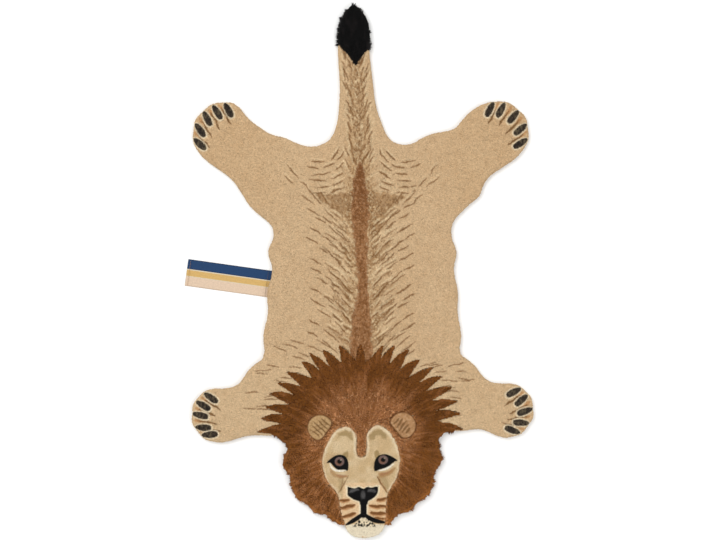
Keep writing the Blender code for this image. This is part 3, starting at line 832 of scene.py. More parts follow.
def paint_face(dye):
    """Clipped tan face with a pale edge, its markings and its eyes."""
    y = dye.points[:, 1]
    mottle = uneven(dye.points, 12, 71)
    dye.lay(0.3 * smooth(-0.2, 0.9, mottle), CREAM)
    dye.lay(0.2 * smooth(0.0, 0.9, -mottle), UNDER_EYE)
    inside = inside_by(face_loop(), dye.points) + 1.6 * uneven(dye.points, 4, 73)
    dye.lay(0.65 * smooth(7.5, 3.0, inside) * smooth(-352, -335, y), CREAM)
    dye.lay(0.35 * smooth(6.0, 2.0, inside) * smooth(-335, -352, y), CREAM)
    dye.lay(0.6 * smooth(1.6, 0.0, inside), MANE_PALE_AND_GLINT)
    for outline, strength, soft, ragged in FACE_PATCHES:
        dye.patch(outline, BROW, strength, soft, ragged=ragged)
    for knots, width, yarn, strength, soft, wobble in FACE_LINES:
        dye.line(knots, width, yarn, strength, soft, wobble=wobble)
    for eye in EYES:
        paint_eye(dye, *eye)
    paint_muzzle(dye)


def paint_muzzle(dye):
    """Cream lips with rows of whisker roots, pale chin with a little beard, black nose and
    mouth."""
    x, y = dye.points.T
    dye.patch(MUZZLE_OUTLINE, MUZZLE, 0.85, soft=2.0)
    for outer, inner, low, rise, width in WHISKER_ROWS:
        bow = ((outer + inner) / 2, low + rise / 2 - 2.5)
        knots = np.array(((outer, low), bow, (inner, low + rise)))
        dye.line(knots, width + 3.4, WHISKER_WARM, 0.9, soft=1.0, wobble=1.5)
        dye.line(knots + (0, 0.8), width - 0.4, WHISKER, 0.9, sunk=0.3, wobble=1.5)
    dye.patch(CHIN_OUTLINE, CHIN, soft=1.0)
    # black tufts among cream ones, in a triangle that opens downwards
    beard = smooth(-459, -463, y) * smooth(-481, -477, y)
    beard *= smooth(1.0, 0.85, abs(x - 5) / (-455 - y))
    dye.lay(beard * 0.9, CREAM)
    dye.lay(beard * smooth(-0.2, 0.1, uneven(dye.points, (1.9, 2.6), 72)), BLACK)
    halo = [(1 + (px - 1) * 1.13, -419 + (py + 419) * 1.2) for px, py in NOSE_OUTLINE]
    dye.patch(halo, CREAM, 0.9, soft=1.0, ragged=1.0)
    dye.line(((3, -430), (2.5, -445), (2.5, -459)), 17, CREAM, 0.9, soft=1.0, taper=False)
    dye.patch(NOSE_OUTLINE, BLACK, soft=0.5, sunk=0.5)
    for knots, width in ((((-24, -415), (-17, -409), (-6, -411)), 6.4),
                         (((10, -412), (19, -410), (27, -413)), 6.0)):
        dye.line(knots, width, NOSE_SHINE, 0.75, soft=2.2, wobble=1.6)
    dye.blob((2, -420), (4.0, 7.5), 0, NOSE_SHINE, 0.7, soft=2.2)
    dye.line(((3, -433), (3, -445), (3, -457)), 11.4, BLACK, soft=0.6, sunk=0.6, taper=False)
    dye.line(((5, -452), (-8, -464), (-31, -476)), 8.6, BLACK, soft=0.6, sunk=0.6)
    dye.line(((1, -452), (16, -470), (46, -471)), 8.8, BLACK, soft=0.6, sunk=0.6)


def paint_tail_tuft(dye):
    # painted highlights: lighter streaks over the black yarn
    streak = uneven(dye.points, (5, 14), 81)
    dye.lay(0.6 * smooth(0, 0.9, streak), BLACK_HIGHLIGHT)


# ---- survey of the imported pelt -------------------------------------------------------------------
def merged_copy(node):
    bm = bmesh.new()
    bm.from_mesh(node.data)
    bmesh.ops.remove_doubles(bm, verts=bm.verts, dist=CLOSE * MM)
    return bm


def backing_mesh(pelt):
    """The lowest layer of the pelt, closed on top, and its outline in order."""
    bm = merged_copy(pelt)
    bmesh.ops.bisect_plane(
        bm, geom=bm.verts[:] + bm.edges[:] + bm.faces[:], dist=CLOSE * MM,
        plane_co=(0, 0, BACKING_TOP * MM), plane_no=(0, 0, 1), clear_outer=True,
    )
    rim = [edge for edge in bm.edges if edge.is_boundary]
    outline = walk(rim)
    bmesh.ops.contextual_create(bm, geom=rim)
    bmesh.ops.recalc_face_normals(bm, faces=bm.faces)
    return bm, outline


def walk(rim):
    """Points of a closed ring of edges, one after the other, in mm."""
    edge, vert = rim[0], rim[0].verts[0]
    points = []
    while not points or vert is not rim[0].verts[0]:
        points.append(vert.co.xy / MM)
        vert = edge.other_vert(vert)
        edge = next(other for other in vert.link_edges if other.is_boundary and other is not edge)
    return np.array(points)


Rim = namedtuple("Rim", "points outwards tree")


def measure_rim(outline):
    """Even steps along the outline, with the direction outwards at each."""
    runs = np.roll(outline, -1, 0) - outline
    lengths = np.hypot(*runs.T)
    total = np.concatenate(([0], np.cumsum(lengths)))
    closed = np.vstack((outline, outline[:1]))
    at = np.arange(0, total[-1], OUTLINE_STEP)
    points = np.stack([np.interp(at, total, closed[:, axis]) for axis in (0, 1)], 1)
    ahead = np.roll(points, -2, 0) - np.roll(points, 2, 0)
    ahead /= np.linalg.norm(ahead, axis=1)[:, None]
    (x, y), (next_x, next_y) = outline.T, np.roll(outline, -1, 0).T
    turning = np.sign(np.sum(x * next_y - next_x * y))
    outwards = np.stack((ahead[:, 1], -ahead[:, 0]), 1) * turning
    tree = KDTree(len(points))
    for index, point in enumerate(points):
        tree.insert((*point, 0), index)
    tree.balance()
    return Rim(points, outwards, tree)


Ground = namedtuple("Ground", "tree rim")


def heights(ground, points):
    """Top of the pelt over each point, 0 where the pelt isn't."""
    found = np.zeros(len(points))
    for index, (x, y) in enumerate(points * MM):
        under = ground.tree.ray_cast(Vector((x, y, -1)), Vector((0, 0, 1)))[0]
        if under is None or under.z > BACKING_TOP * MM:
            continue
        found[index] = ground.tree.ray_cast(Vector((x, y, 1)), Vector((0, 0, -1)))[0].z / MM
    return found


def nearest_rim(ground, points):
    """Distance to the rim, and the direction outwards there."""
    found = [ground.rim.tree.find((x, y, 0)) for x, y in points]
    index = np.array([hit[1] for hit in found], int)
    return np.array([hit[2] for hit in found]), ground.rim.outwards[index]


# ---- tufts ---------------------------------------------------------------------------------------
Tufts = namedtuple("Tufts", "root tip cell")


def hex_places(low, high, pile):
    """Tuft places over a box, in staggered rows, a little uneven."""
    step = pile.pitch * math.sqrt(0.75)
    column, row = np.meshgrid(
        np.arange((high[0] - low[0]) / pile.pitch), np.arange((high[1] - low[1]) / step))
    places = np.stack((
        low[0] + (column + 0.5 * (row % 2)).ravel() * pile.pitch, low[1] + row.ravel() * step), 1)
    return places + rng.uniform(-1, 1, places.shape) * pile.pitch * pile.jitter


def standing(ground, places, tops, pile, lean):
    """Tufts whose tips stand at the pelt's height. Near the rim they lean out over it."""
    reach, outwards = nearest_rim(ground, places)
    over = np.clip(OVERHANG_WITHIN - reach, 0, None)[:, None] * outwards
    tips = tops + rng.uniform(-1, 1, len(places)) * pile.height_jitter
    roots = np.minimum(tips - TUFT_LENGTH, ROOT_HIGHEST)
    return Tufts(
        root=np.column_stack((places - over - lean, roots)),
        tip=np.column_stack((places, tips)),
        cell=places,
    )


def rim_tufts(ground, places, outwards, tops, pile):
    """Rows of tufts up the cut edge, fanned from level at the floor to nearly upright."""
    rows = []
    row = 0
    while True:
        height = RIM_ROW_FIRST + row * RIM_ROW_STEP
        on = height < tops - RIM_ROW_LAST
        if not on.any():
            break
        share = height / np.maximum(tops[on], 1)
        spots = places[on] + rng.uniform(-0.6, 0.6, (on.sum(), 2))
        out = outwards[on] * (RIM_OUT - RIM_BACK * smooth(0.7, 1.0, share))[:, None]
        tip = height + rng.uniform(-0.5, 0.5, on.sum())
        root = np.clip(height - 0.5 - 1.8 * share, BACKING_TOP + 0.3, ROOT_HIGHEST)
        rows.append(Tufts(
            root=np.column_stack((spots - outwards[on] * RIM_LEAN, root)),
            tip=np.column_stack((spots + out, tip)),
            cell=places[on] + outwards[on] * pile.pitch * (row + 0.6),
        ))
        row += 1
    return together(rows)


def together(parts):
    return Tufts(*(np.concatenate(field) for field in zip(*parts)))


def some(tufts, chosen):
    return Tufts(*(field[chosen] for field in tufts))


Template = namedtuple("Template", "turn height girth triangles unfold")


def yarn_template(rings):
    """One yarn end: a four-sided ball drawn out to the rings' heights and girths, and how its
    triangles spread round its tip in the flat map."""
    bm = bmesh.new()
    bmesh.ops.create_uvsphere(bm, u_segments=4, v_segments=len(rings) - 1, radius=1)
    levels = sorted({round(vert.co.z, 3) for vert in bm.verts})
    turn, height, girth = [], [], []
    for vert in bm.verts:
        level = levels.index(round(vert.co.z, 3))
        turn.append(math.atan2(vert.co.y, vert.co.x))
        height.append(rings[level][0])
        girth.append(rings[level][1])
    bmesh.ops.triangulate(bm, faces=bm.faces)
    triangles = [[vert.index for vert in face.verts] for face in bm.faces]
    unfold = []
    for corners in triangles:
        middle = sum(complex(math.cos(turn[c]), math.sin(turn[c])) for c in corners if girth[c])
        for corner in corners:
            spread = 1 - height[corner] if height[corner] < 1 else 0
            angle = turn[corner] if girth[corner] else math.atan2(middle.imag, middle.real)
            unfold.append((spread * math.cos(angle), spread * math.sin(angle)))
    bm.free()
    return Template(*(np.array(field) for field in (turn, height, girth, triangles)),
                    np.array(unfold))


def side_frames(axis):
    """Two directions square to each tuft's axis."""
    first = np.cross(axis, np.array((0.31, 0.95, 0.02)))
    first /= np.linalg.norm(first, axis=1)[:, None]
    return first, np.cross(axis, first)


def grow(name, tufts, rings, pile, paint, ground_colour, bow=None):
    """One mesh of tufts, dyed, with a flat map of one cell for each tuft."""
    template = yarn_template(rings)
    count, corners = len(tufts.root), len(template.turn)
    run = tufts.tip - tufts.root
    axis = run / np.linalg.norm(run, axis=1)[:, None]
    first, second = side_frames(axis)
    turns = rng.uniform(0, math.tau, count)[:, None] + template.turn
    girth = pile.radius * rng.uniform(*GIRTHS, count)[:, None] * template.girth
    height = template.height[None, :, None]
    points = (
        tufts.root[:, None] + run[:, None] * height
        + (girth * np.cos(turns))[..., None] * first[:, None]
        + (girth * np.sin(turns))[..., None] * second[:, None]
    )
    if bow is not None:
        points += bow[:, None] * height * (1 - height) * 4
    painted = DYED_TOWARDS_TIP * tufts.tip[:, None, :2] + (1 - DYED_TOWARDS_TIP) * points[..., :2]
    dye = Dye(painted.reshape(-1, 2), ground_colour)
    paint(dye)
    points[..., 2] -= dye.sunk.reshape(count, corners).max(1)[:, None] * template.height
    points[..., 2] = np.maximum(points[..., 2], 0)          # they lie on the floor
    # each tuft's own random tone, times painted shade that darkens it towards its root
    tone_and_root_shade = (1 + pile.tone * rng.standard_normal(count))[:, None] * (
        ROOT_SHADE + (1 - ROOT_SHADE) * template.height)
    colour = dye.colour.reshape(count, corners, 3) * tone_and_root_shade[..., None] / pile.shown
    colour = np.clip(colour, 0, PALEST)
    faces = (np.arange(count)[:, None, None] * corners + template.triangles).reshape(-1, 3)
    cells = tufts.cell[:, None] + CELL_FILLED * pile.pitch * template.unfold
    return make_mesh(
        name, points.reshape(-1, 3), faces, colour.reshape(-1, 3), cells.reshape(-1, 2))


def make_mesh(name, points, faces, colour, cells):
    mesh = bpy.data.meshes.new(name)
    mesh.from_pydata((points * MM).tolist(), [], faces.tolist())
    mesh.shade_smooth()
    store_colour(mesh, colour)
    low, high = cells.min(0), cells.max(0)
    store_map(mesh, (cells - low) / (high - low))
    return show(name, mesh)


def store_colour(mesh, colour):
    layer = mesh.attributes.new("yarn", "FLOAT_COLOR", "POINT")
    layer.data.foreach_set("color", np.column_stack((colour, np.ones(len(colour)))).ravel())


def store_map(mesh, corners):
    mesh.uv_layers.new(name="OFBake").uv.foreach_set("vector", corners.ravel())


def show(name, mesh):
    piece = bpy.data.objects.new(name, mesh)
    bpy.context.scene.collection.objects.link(piece)
    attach(piece, "root")
    return piece


# ---- pieces of the pelt --------------------------------------------------------------------------
def mane_tops(ground, points):
    """How high the mane's yarn stands at each place, combed out over the tips of the spikes."""
    away = points - MANE_CENTRE
    reach = np.linalg.norm(away, axis=1)[:, None]
    combed = points - away / np.maximum(reach, 1) * SPIKE_COMBED * smooth(*COMBED_BETWEEN, reach)
    return np.max([heights(ground, combed + polar((0, 0), turn, SPIKE_SPREAD))
                   for turn in range(0, 360, 90)], axis=0)


def region(ground, points, tops):
    """What grows at each place: h hide, m mane, f face, e ear, t tail tuft."""
    kind = np.full(len(points), "h")
    at = np.flatnonzero(np.hypot(*(points - MANE_CENTRE).T) < MANE_REACH)
    wide, below = GROOVE_BOX
    on_head = (abs(points[at, 0]) < wide) & (points[at, 1] < below)
    clipped = (tops[at] < BODY_TOP - GROOVE_SUNK) & on_head
    kind[at[(mane_tops(ground, points[at]) > BODY_TOP + MANE_RAISED) | clipped]] = "m"
    ragged = 1.3 * uneven(points[at], 4, 98)
    kind[at[inside_by(face_loop(), points[at]) + ragged > 0]] = "f"
    for ear in EARS:
        kind[at[inside_by(ear_loop(ear), points[at]) > 0]] = "e"
    tail = np.flatnonzero(points[:, 1] > TAIL_TUFT_BOX[0][1])
    kind[tail[inside_by(tail_tuft_loop(), points[tail]) > 0]] = "t"
    kind[points[:, 1] > TAIL_TUFT_ALL] = "t"
    return kind


def outward_lean(places, middle, pile):
    """Long pile lies outwards from the middle, in clumps."""
    away = places - middle
    away /= np.maximum(np.linalg.norm(away, axis=1), 1)[:, None]
    clump = np.stack([uneven(places, 11, seed) for seed in (91, 92)], 1)
    return pile.lean * (0.8 * away + 0.75 * clump) + rng.uniform(-0.6, 0.6, places.shape)


Kind = namedtuple("Kind", "pile paint ground")
KINDS = {
    "h": Kind(HIDE_PILE, paint_hide, SAND),
    "m": Kind(MANE_PILE, paint_mane, MANE_MID),
    "f": Kind(FACE_PILE, paint_face, FACE_TAN),
    "e": Kind(FACE_PILE, paint_ears, MANE_MID),
    "t": Kind(TAIL_PILE, paint_tail_tuft, BLACK),
}


def plant(ground):
    """Tufts of each kind over the whole pelt and up its rim."""
    whole = (ground.rim.points.min(0), ground.rim.points.max(0))
    head = (MANE_CENTRE - MANE_REACH, MANE_CENTRE + MANE_REACH)
    planted = {}
    for kinds, box in (("h", whole), ("m", head), ("fe", head), ("t", TAIL_TUFT_BOX)):
        pile = KINDS[kinds[0]].pile
        places = hex_places(*box, pile)
        tops = heights(ground, places)
        places, tops = places[tops > 0], tops[tops > 0]
        kind = region(ground, places, tops)
        for one in kinds:
            at = places[kind == one]
            up = tops[kind == one]
            if one == "m":
                lean = outward_lean(at, MANE_CENTRE, pile)
                on_spikes = np.hypot(*(at - MANE_CENTRE).T) > SPIKES_FROM
                up = np.maximum(up, np.where(on_spikes, mane_tops(ground, at) - 1.0, 0))
            elif one == "t":
                lean = outward_lean(at, TAIL_TUFT_MIDDLE, pile)
            else:
                lean = rng.uniform(-1, 1, at.shape) * pile.lean
            planted[one] = standing(ground, at, up, pile, lean)
    add_rim(ground, planted)
    return planted


def grown_within(ground, places, outwards):
    """How high the pelt is, and what grows, just within places on the rim."""
    within = places - outwards * RIM_PROBE
    tops = heights(ground, within)
    return tops, region(ground, within, tops)


def add_rim(ground, planted):
    stride = round(HIDE_PILE.pitch / OUTLINE_STEP)
    places, outwards = ground.rim.points[::stride], ground.rim.outwards[::stride]
    tops, kind = grown_within(ground, places, outwards)
    for one in planted:
        on = (kind == one) & (tops > 0)
        if on.any():
            edge = rim_tufts(ground, places[on], outwards[on], tops[on], KINDS[one].pile)
            planted[one] = together((planted[one], edge))


def fringe(ground, kind, longest):
    """Loose ends of the long pile, fanned out in clumps over its free rim."""
    tops, grown = grown_within(ground, ground.rim.points, ground.rim.outwards)
    at = np.repeat(np.flatnonzero((grown == kind) & (tops > BODY_TOP)), STRANDS_EACH)
    count = len(at)
    outwards = ground.rim.outwards[at]
    along = np.stack((-outwards[:, 1], outwards[:, 0]), 1)
    start = ground.rim.points[at] + along * rng.uniform(-0.5, 0.5, (count, 1)) * OUTLINE_STEP
    height = rng.uniform(STRAND_LOWEST, tops[at] - STRAND_HIGHEST)
    clump = uneven(start, STRAND_CLUMP, 95)
    reach = longest * (0.5 + 0.5 * clump) * rng.uniform(0.3, 1.0, count)
    sway = STRANDS.lean * (uneven(start, STRAND_CLUMP, 96) + rng.uniform(-0.4, 0.4, count))
    root = start - outwards * rng.uniform(*STRAND_ROOT, (count, 1))
    tip = start + outwards * reach[:, None] + along * sway[:, None]
    cells = np.stack(np.divmod(np.arange(count), math.ceil(math.sqrt(count))), 1) * STRANDS.pitch
    return Tufts(
        root=np.column_stack((root, np.minimum(height + 1.0, tops[at] - 2.0))),
        tip=np.column_stack((tip, np.maximum(height * (1 - STRAND_SAG), 1.2))),
        cell=cells,
    )


def make_bed(ground, wool):
    """What the tufts stand on: the canvas with the roots packed in it, a little inside the rim."""
    inset = ground.rim.points[::4] - ground.rim.outwards[::4] * BED_INSET
    reach, _ = nearest_rim(ground, inset)
    inset = inset[reach > BED_INSET - 0.25]
    bm = bmesh.new()
    floor = bm.faces.new([bm.verts.new((*point * MM, BACKING_TOP * MM)) for point in inset])
    grown = bmesh.ops.extrude_face_region(bm, geom=[floor])["geom"]
    raised = [part for part in grown if isinstance(part, bmesh.types.BMVert)]
    bmesh.ops.translate(bm, verts=raised, vec=(0, 0, (BED_TOP - BACKING_TOP) * MM))
    low, high = inset.min(0), inset.max(0)
    for axis in (0, 1):
        across = Vector((1 - axis, axis, 0))
        for place in np.arange(low[axis] + BED_GRID, high[axis], BED_GRID):
            bmesh.ops.bisect_plane(
                bm, geom=bm.verts[:] + bm.edges[:] + bm.faces[:], dist=CLOSE * MM,
                plane_co=across * place * MM, plane_no=across)
    bmesh.ops.recalc_face_normals(bm, faces=bm.faces)
    mesh = bpy.data.meshes.new("pile_bed")
    bm.to_mesh(mesh)
    bm.free()
    points = np.array([vert.co.xy for vert in mesh.vertices]) / MM
    kind = region(ground, points, heights(ground, points))
    colour = np.zeros((len(points), 3))
    for one, (_, paint, base) in KINDS.items():
        at = kind == one
        if at.any():
            dye = Dye(points[at], base)
            paint(dye)
            # painted shade: the roots down between the tufts are darker than their yarn
            colour[at] = dye.colour * BED_SHADE
    store_colour(mesh, colour)
    bed = show("pile_bed", mesh)
    mesh.materials.append(wool)
    return bed


def make_pile(ground, wool):
    """All the cut pile, in pieces by how it is tufted."""
    planted = plant(ground)
    pieces = []
    order = rng.permutation(len(planted["h"].root))
    for number in range(HIDE_PASSES):
        chosen = some(planted["h"], order[number::HIDE_PASSES])
        pieces.append(grow(f"hide_pile_{number + 1}", chosen, TUFT_RINGS, *KINDS["h"]))
    mane = planted["m"]
    upper = mane.tip[:, 1] > MANE_CENTRE[1]
    for name, half in (("mane_crown", upper), ("mane_beard", ~upper)):
        locks = some(mane, half)
        bow = np.zeros(locks.root.shape)
        bow[:, :2] = -0.35 * (locks.tip - locks.root)[:, :2]
        pieces.append(grow(name, locks, LOCK_RINGS, *KINDS["m"], bow))
    for name, kind, rings in (
            ("face_pile", "f", TUFT_RINGS), ("ear_pile", "e", TUFT_RINGS),
            ("tail_tuft", "t", LOCK_RINGS)):
        pieces.append(grow(name, planted[kind], rings, *KINDS[kind]))
    for name, kind, longest in FRINGES:
        ends = fringe(ground, kind, longest)
        lift = np.zeros(ends.root.shape)
        lift[:, 2] = rng.uniform(-0.2, 1.2, len(lift))
        pieces.append(grow(name, ends, STRAND_RINGS, STRANDS, *KINDS[kind][1:], lift))
    for piece in pieces:
        piece.data.materials.append(wool)
    return pieces


def make_backing(bm, canvas):
    mesh = bpy.data.meshes.new("backing")
    bm.to_mesh(mesh)
    bm.free()
    mesh.materials.append(canvas)
    return show("backing", mesh)


# ---- label ---------------------------------------------------------------------------------------
def ribbon_path(run):
    """Along the ribbon and up, after a run of cloth from the raw end of the hem, on the face that
    is folded in. The cloth is thickened away from it."""
    fold = (RIBBON_HIGH - RIBBON_LOW) / 2
    inner = fold - RIBBON_THICK / 2
    turn = np.clip((run - LABEL_HEM) / fold, 0, math.pi)
    along = np.where(run < LABEL_HEM, fold + LABEL_HEM - run,
                     np.where(turn < math.pi, fold - inner * np.sin(turn),
                              fold + run - LABEL_HEM - math.pi * fold))
    up = RIBBON_LOW + fold + inner * np.cos(turn)
    return along, up


def label_places(along, across, up):
    """Points on the rug for places on the ribbon."""
    turn = math.radians(LABEL_TURN)
    ahead = np.array((math.cos(turn), math.sin(turn)))
    flat = LABEL_END + np.outer(along, ahead) + np.outer(across, (-ahead[1], ahead[0]))
    return np.column_stack((flat, up))


def make_label(ribbon, thread):
    """Ribbon with its outer end folded back and stitched down, and a seam by the pelt."""
    fold = (RIBBON_HIGH - RIBBON_LOW) / 2
    whole = LABEL_HEM + math.pi * fold + LABEL_LENGTH - fold
    rows, columns = round(whole / RIBBON_STEP), round(LABEL_WIDTH / RIBBON_STEP)
    bm = bmesh.new()
    bmesh.ops.create_grid(bm, x_segments=rows, y_segments=columns, size=0.5)
    flat = np.array([vert.co.xy for vert in bm.verts]) + 0.5
    along, up = ribbon_path(flat[:, 0] * whole)
    # the selvedge ripples with the picks, and the cloth lies in slow waves
    edge = np.abs(flat[:, 1] - 0.5) * 2
    across = (flat[:, 1] - 0.5) * LABEL_WIDTH
    ripple = RIBBON_RIPPLE * np.sin(flat[:, 0] * whole * math.pi / RIBBON_PICK)
    across += np.sign(across) * ripple * (edge > 0.98)
    wave = RIBBON_RIPPLE * uneven(np.stack((along, across), 1), (36, 60), 97)
    places = label_places(along, across, up + wave * smooth(LABEL_HEM, 24, along))
    for vert, place in zip(bm.verts, places):
        vert.co = place * MM
    bm.verts.index_update()
    pattern = bm.loops.layers.uv.new("ribbon")
    # the cloth's face fills the lower half of the flat map, and its back and edges the upper half
    flat_map = bm.loops.layers.uv.new("OFBake")
    for face in bm.faces:
        for loop in face.loops:
            loop[pattern].uv = flat[loop.vert.index] * (whole, LABEL_WIDTH)
            loop[flat_map].uv = flat[loop.vert.index] * (0.96, 0.48) + (0.02, 0.01)
    top = set(bm.faces)
    bmesh.ops.solidify(bm, geom=bm.faces[:], thickness=RIBBON_THICK * MM)
    bmesh.ops.recalc_face_normals(bm, faces=bm.faces)
    for face in bm.faces:
        if face not in top:
            for loop in face.loops:
                loop[flat_map].uv.y += 0.5
    mesh = bpy.data.meshes.new("ribbon_label")
    bm.to_mesh(mesh)
    bm.free()
    mesh.shade_smooth()
    mesh.materials.append(ribbon)
    label = show("ribbon_label", mesh)
    return label, [sew("hem_stitches", LABEL_HEM - 1.6, 0.0, RIBBON_HIGH, STITCHING, thread),
                   sew("label_seam", LABEL_SEAM, 0.5, RIBBON_LOW, SEAM, thread)]


def sew(name, along, closer, up, colour, thread):
    """A row of stitches across the ribbon, so much closer together than the usual step."""
    edge = LABEL_WIDTH / 2 - 1.5
    starts = np.arange(-edge, edge - STITCH_LENGTH, STITCH_STEP - closer)
    top = np.full(len(starts), up + 0.5 * RIBBON_THICK)
    alongs = np.full(len(starts), along)
    ends = Tufts(root=label_places(alongs, starts, top),
                 tip=label_places(alongs, starts + STITCH_LENGTH, top),
                 cell=np.column_stack((starts, 0 * starts)))
    bow = np.zeros(ends.root.shape)
    bow[:, 2] = 0.35 * STITCH_RADIUS
    yarn = Pile(STITCH_STEP, STITCH_RADIUS, 0, 0, 0, tone=0.05, shown=0.9)
    row = grow(name, ends, STRAND_RINGS, yarn, lambda dye: None, colour, bow)
    row.data.materials.append(thread)
    return row


# ---- materials -----------------------------------------------------------------------------------
def add_node(tree, kind, links=(), values=(), **settings):
    """Add a node. Each link is (input, output socket), and each of the values (input, value). A
    setting is one of its properties, or else the value of the input of that name, with _ for a
    blank."""
    made = tree.nodes.new(kind)
    for name, value in settings.items():
        if hasattr(made, name):
            setattr(made, name, value)
        else:
            made.inputs[name.replace("_", " ")].default_value = value
    for name, value in values:
        made.inputs[name].default_value = value
    for name, socket in links:
        tree.links.new(socket, made.inputs[name])
    return made


def new_material(name, **finish):
    """A material with these constants set on its shader's own sockets, with _ for a blank."""
    made = bpy.data.materials.new(name)
    made.use_nodes = True
    shader = made.node_tree.nodes["Principled BSDF"]
    for socket, value in finish.items():
        shader.inputs[socket.replace("_", " ")].default_value = value
    return made, made.node_tree, shader


def wool_material():
    """Wool yarn, cut: matt, with light caught in the loose fibres at the tips."""
    made, tree, shader = new_material(
        "cut_wool_yarn", Roughness=0.95, IOR=1.54, Specular_IOR_Level=0.1, Sheen_Weight=0.03,
        Sheen_Roughness=0.6)
    # the yarn colours hold painted shade towards the tufts' roots and on the bed
    yarn = add_node(tree, "ShaderNodeAttribute", attribute_name="yarn")
    place = add_node(tree, "ShaderNodeTexCoord")
    # fibres of 0.03 mm are too fine to show, so they are drawn at 0.6 mm
    fibre = add_node(tree, "ShaderNodeTexNoise", [("Vector", place.outputs["Object"])],
                     Scale=1 / (0.6 * MM), Detail=3.0, Roughness=0.7)
    tone = add_node(tree, "ShaderNodeMapRange", [("Value", fibre.outputs["Fac"])],
                    From_Min=0.3, From_Max=0.7, To_Min=0.86, To_Max=1.12)
    dyed = add_node(tree, "ShaderNodeVectorMath",
                    [("Vector", yarn.outputs["Color"]), ("Scale", tone.outputs["Result"])],
                    operation="SCALE")
    bump = add_node(tree, "ShaderNodeBump", [("Height", fibre.outputs["Fac"])],
                    Strength=0.5, Distance=0.3 * MM)
    tree.links.new(dyed.outputs["Vector"], shader.inputs["Base Color"])
    tree.links.new(bump.outputs["Normal"], shader.inputs["Normal"])
    return made


def weave(tree, place, across, along):
    """Height, 0 to 1, of plain weave with the given thread spacings in metres: round threads that
    go over and under each other by turns."""
    parts = add_node(tree, "ShaderNodeSeparateXYZ", [("Vector", place)])
    threads, waves = [], []
    for axis, spacing in (("X", across), ("Y", along)):
        turn = add_node(tree, "ShaderNodeMath", [(0, parts.outputs[axis])],
                        [(1, math.pi / spacing)], operation="MULTIPLY")
        wave = add_node(tree, "ShaderNodeMath", [(0, turn.outputs[0])], operation="SINE")
        thread = add_node(tree, "ShaderNodeMath", [(0, wave.outputs[0])], operation="ABSOLUTE")
        threads.append(thread.outputs[0])
        waves.append(wave.outputs[0])
    over = add_node(tree, "ShaderNodeMath", [(0, waves[0]), (1, waves[1])], operation="MULTIPLY")
    which = add_node(tree, "ShaderNodeMath", [(0, over.outputs[0])], [(1, 0.0)],
                     operation="GREATER_THAN")
    height = add_node(tree, "ShaderNodeMix", [
        ("Factor", which.outputs[0]), ("A", threads[0]), ("B", threads[1])], data_type="FLOAT")
    return height.outputs["Result"]


def canvas_material():
    """Cotton canvas, unbleached: plain weave, matt, cream with darker flecks and painted shade."""
    made, tree, shader = new_material("cotton_canvas", Roughness=0.92, Specular_IOR_Level=0.15)
    place = add_node(tree, "ShaderNodeTexCoord").outputs["Object"]
    # threads of 0.8 mm, drawn at 2.2 mm so that they show
    height = weave(tree, place, 2.2 * MM, 2.2 * MM)
    fleck = add_node(tree, "ShaderNodeTexNoise", [("Vector", place)],
                     Scale=1 / (5 * MM), Detail=4.0, Roughness=0.6)
    # painted shade: darker where the threads dip under each other, times the flecks
    mixed = add_node(tree, "ShaderNodeMath", [(0, height), (1, fleck.outputs["Fac"])],
                     operation="MULTIPLY")
    weave_shade_and_tone = add_node(tree, "ShaderNodeMapRange", [("Value", mixed.outputs[0])],
                      From_Min=0.05, From_Max=0.6, To_Min=0.62, To_Max=1.08)
    cream = add_node(tree, "ShaderNodeRGB")
    cream.outputs[0].default_value = (*linear("CDBFA3"), 1)
    cloth = add_node(tree, "ShaderNodeVectorMath", [
        ("Vector", cream.outputs[0]), ("Scale", weave_shade_and_tone.outputs["Result"])], operation="SCALE")
    bump = add_node(tree, "ShaderNodeBump", [("Height", height)], Strength=0.6, Distance=0.4 * MM)
    tree.links.new(cloth.outputs["Vector"], shader.inputs["Base Color"])
    tree.links.new(bump.outputs["Normal"], shader.inputs["Normal"])
    return made


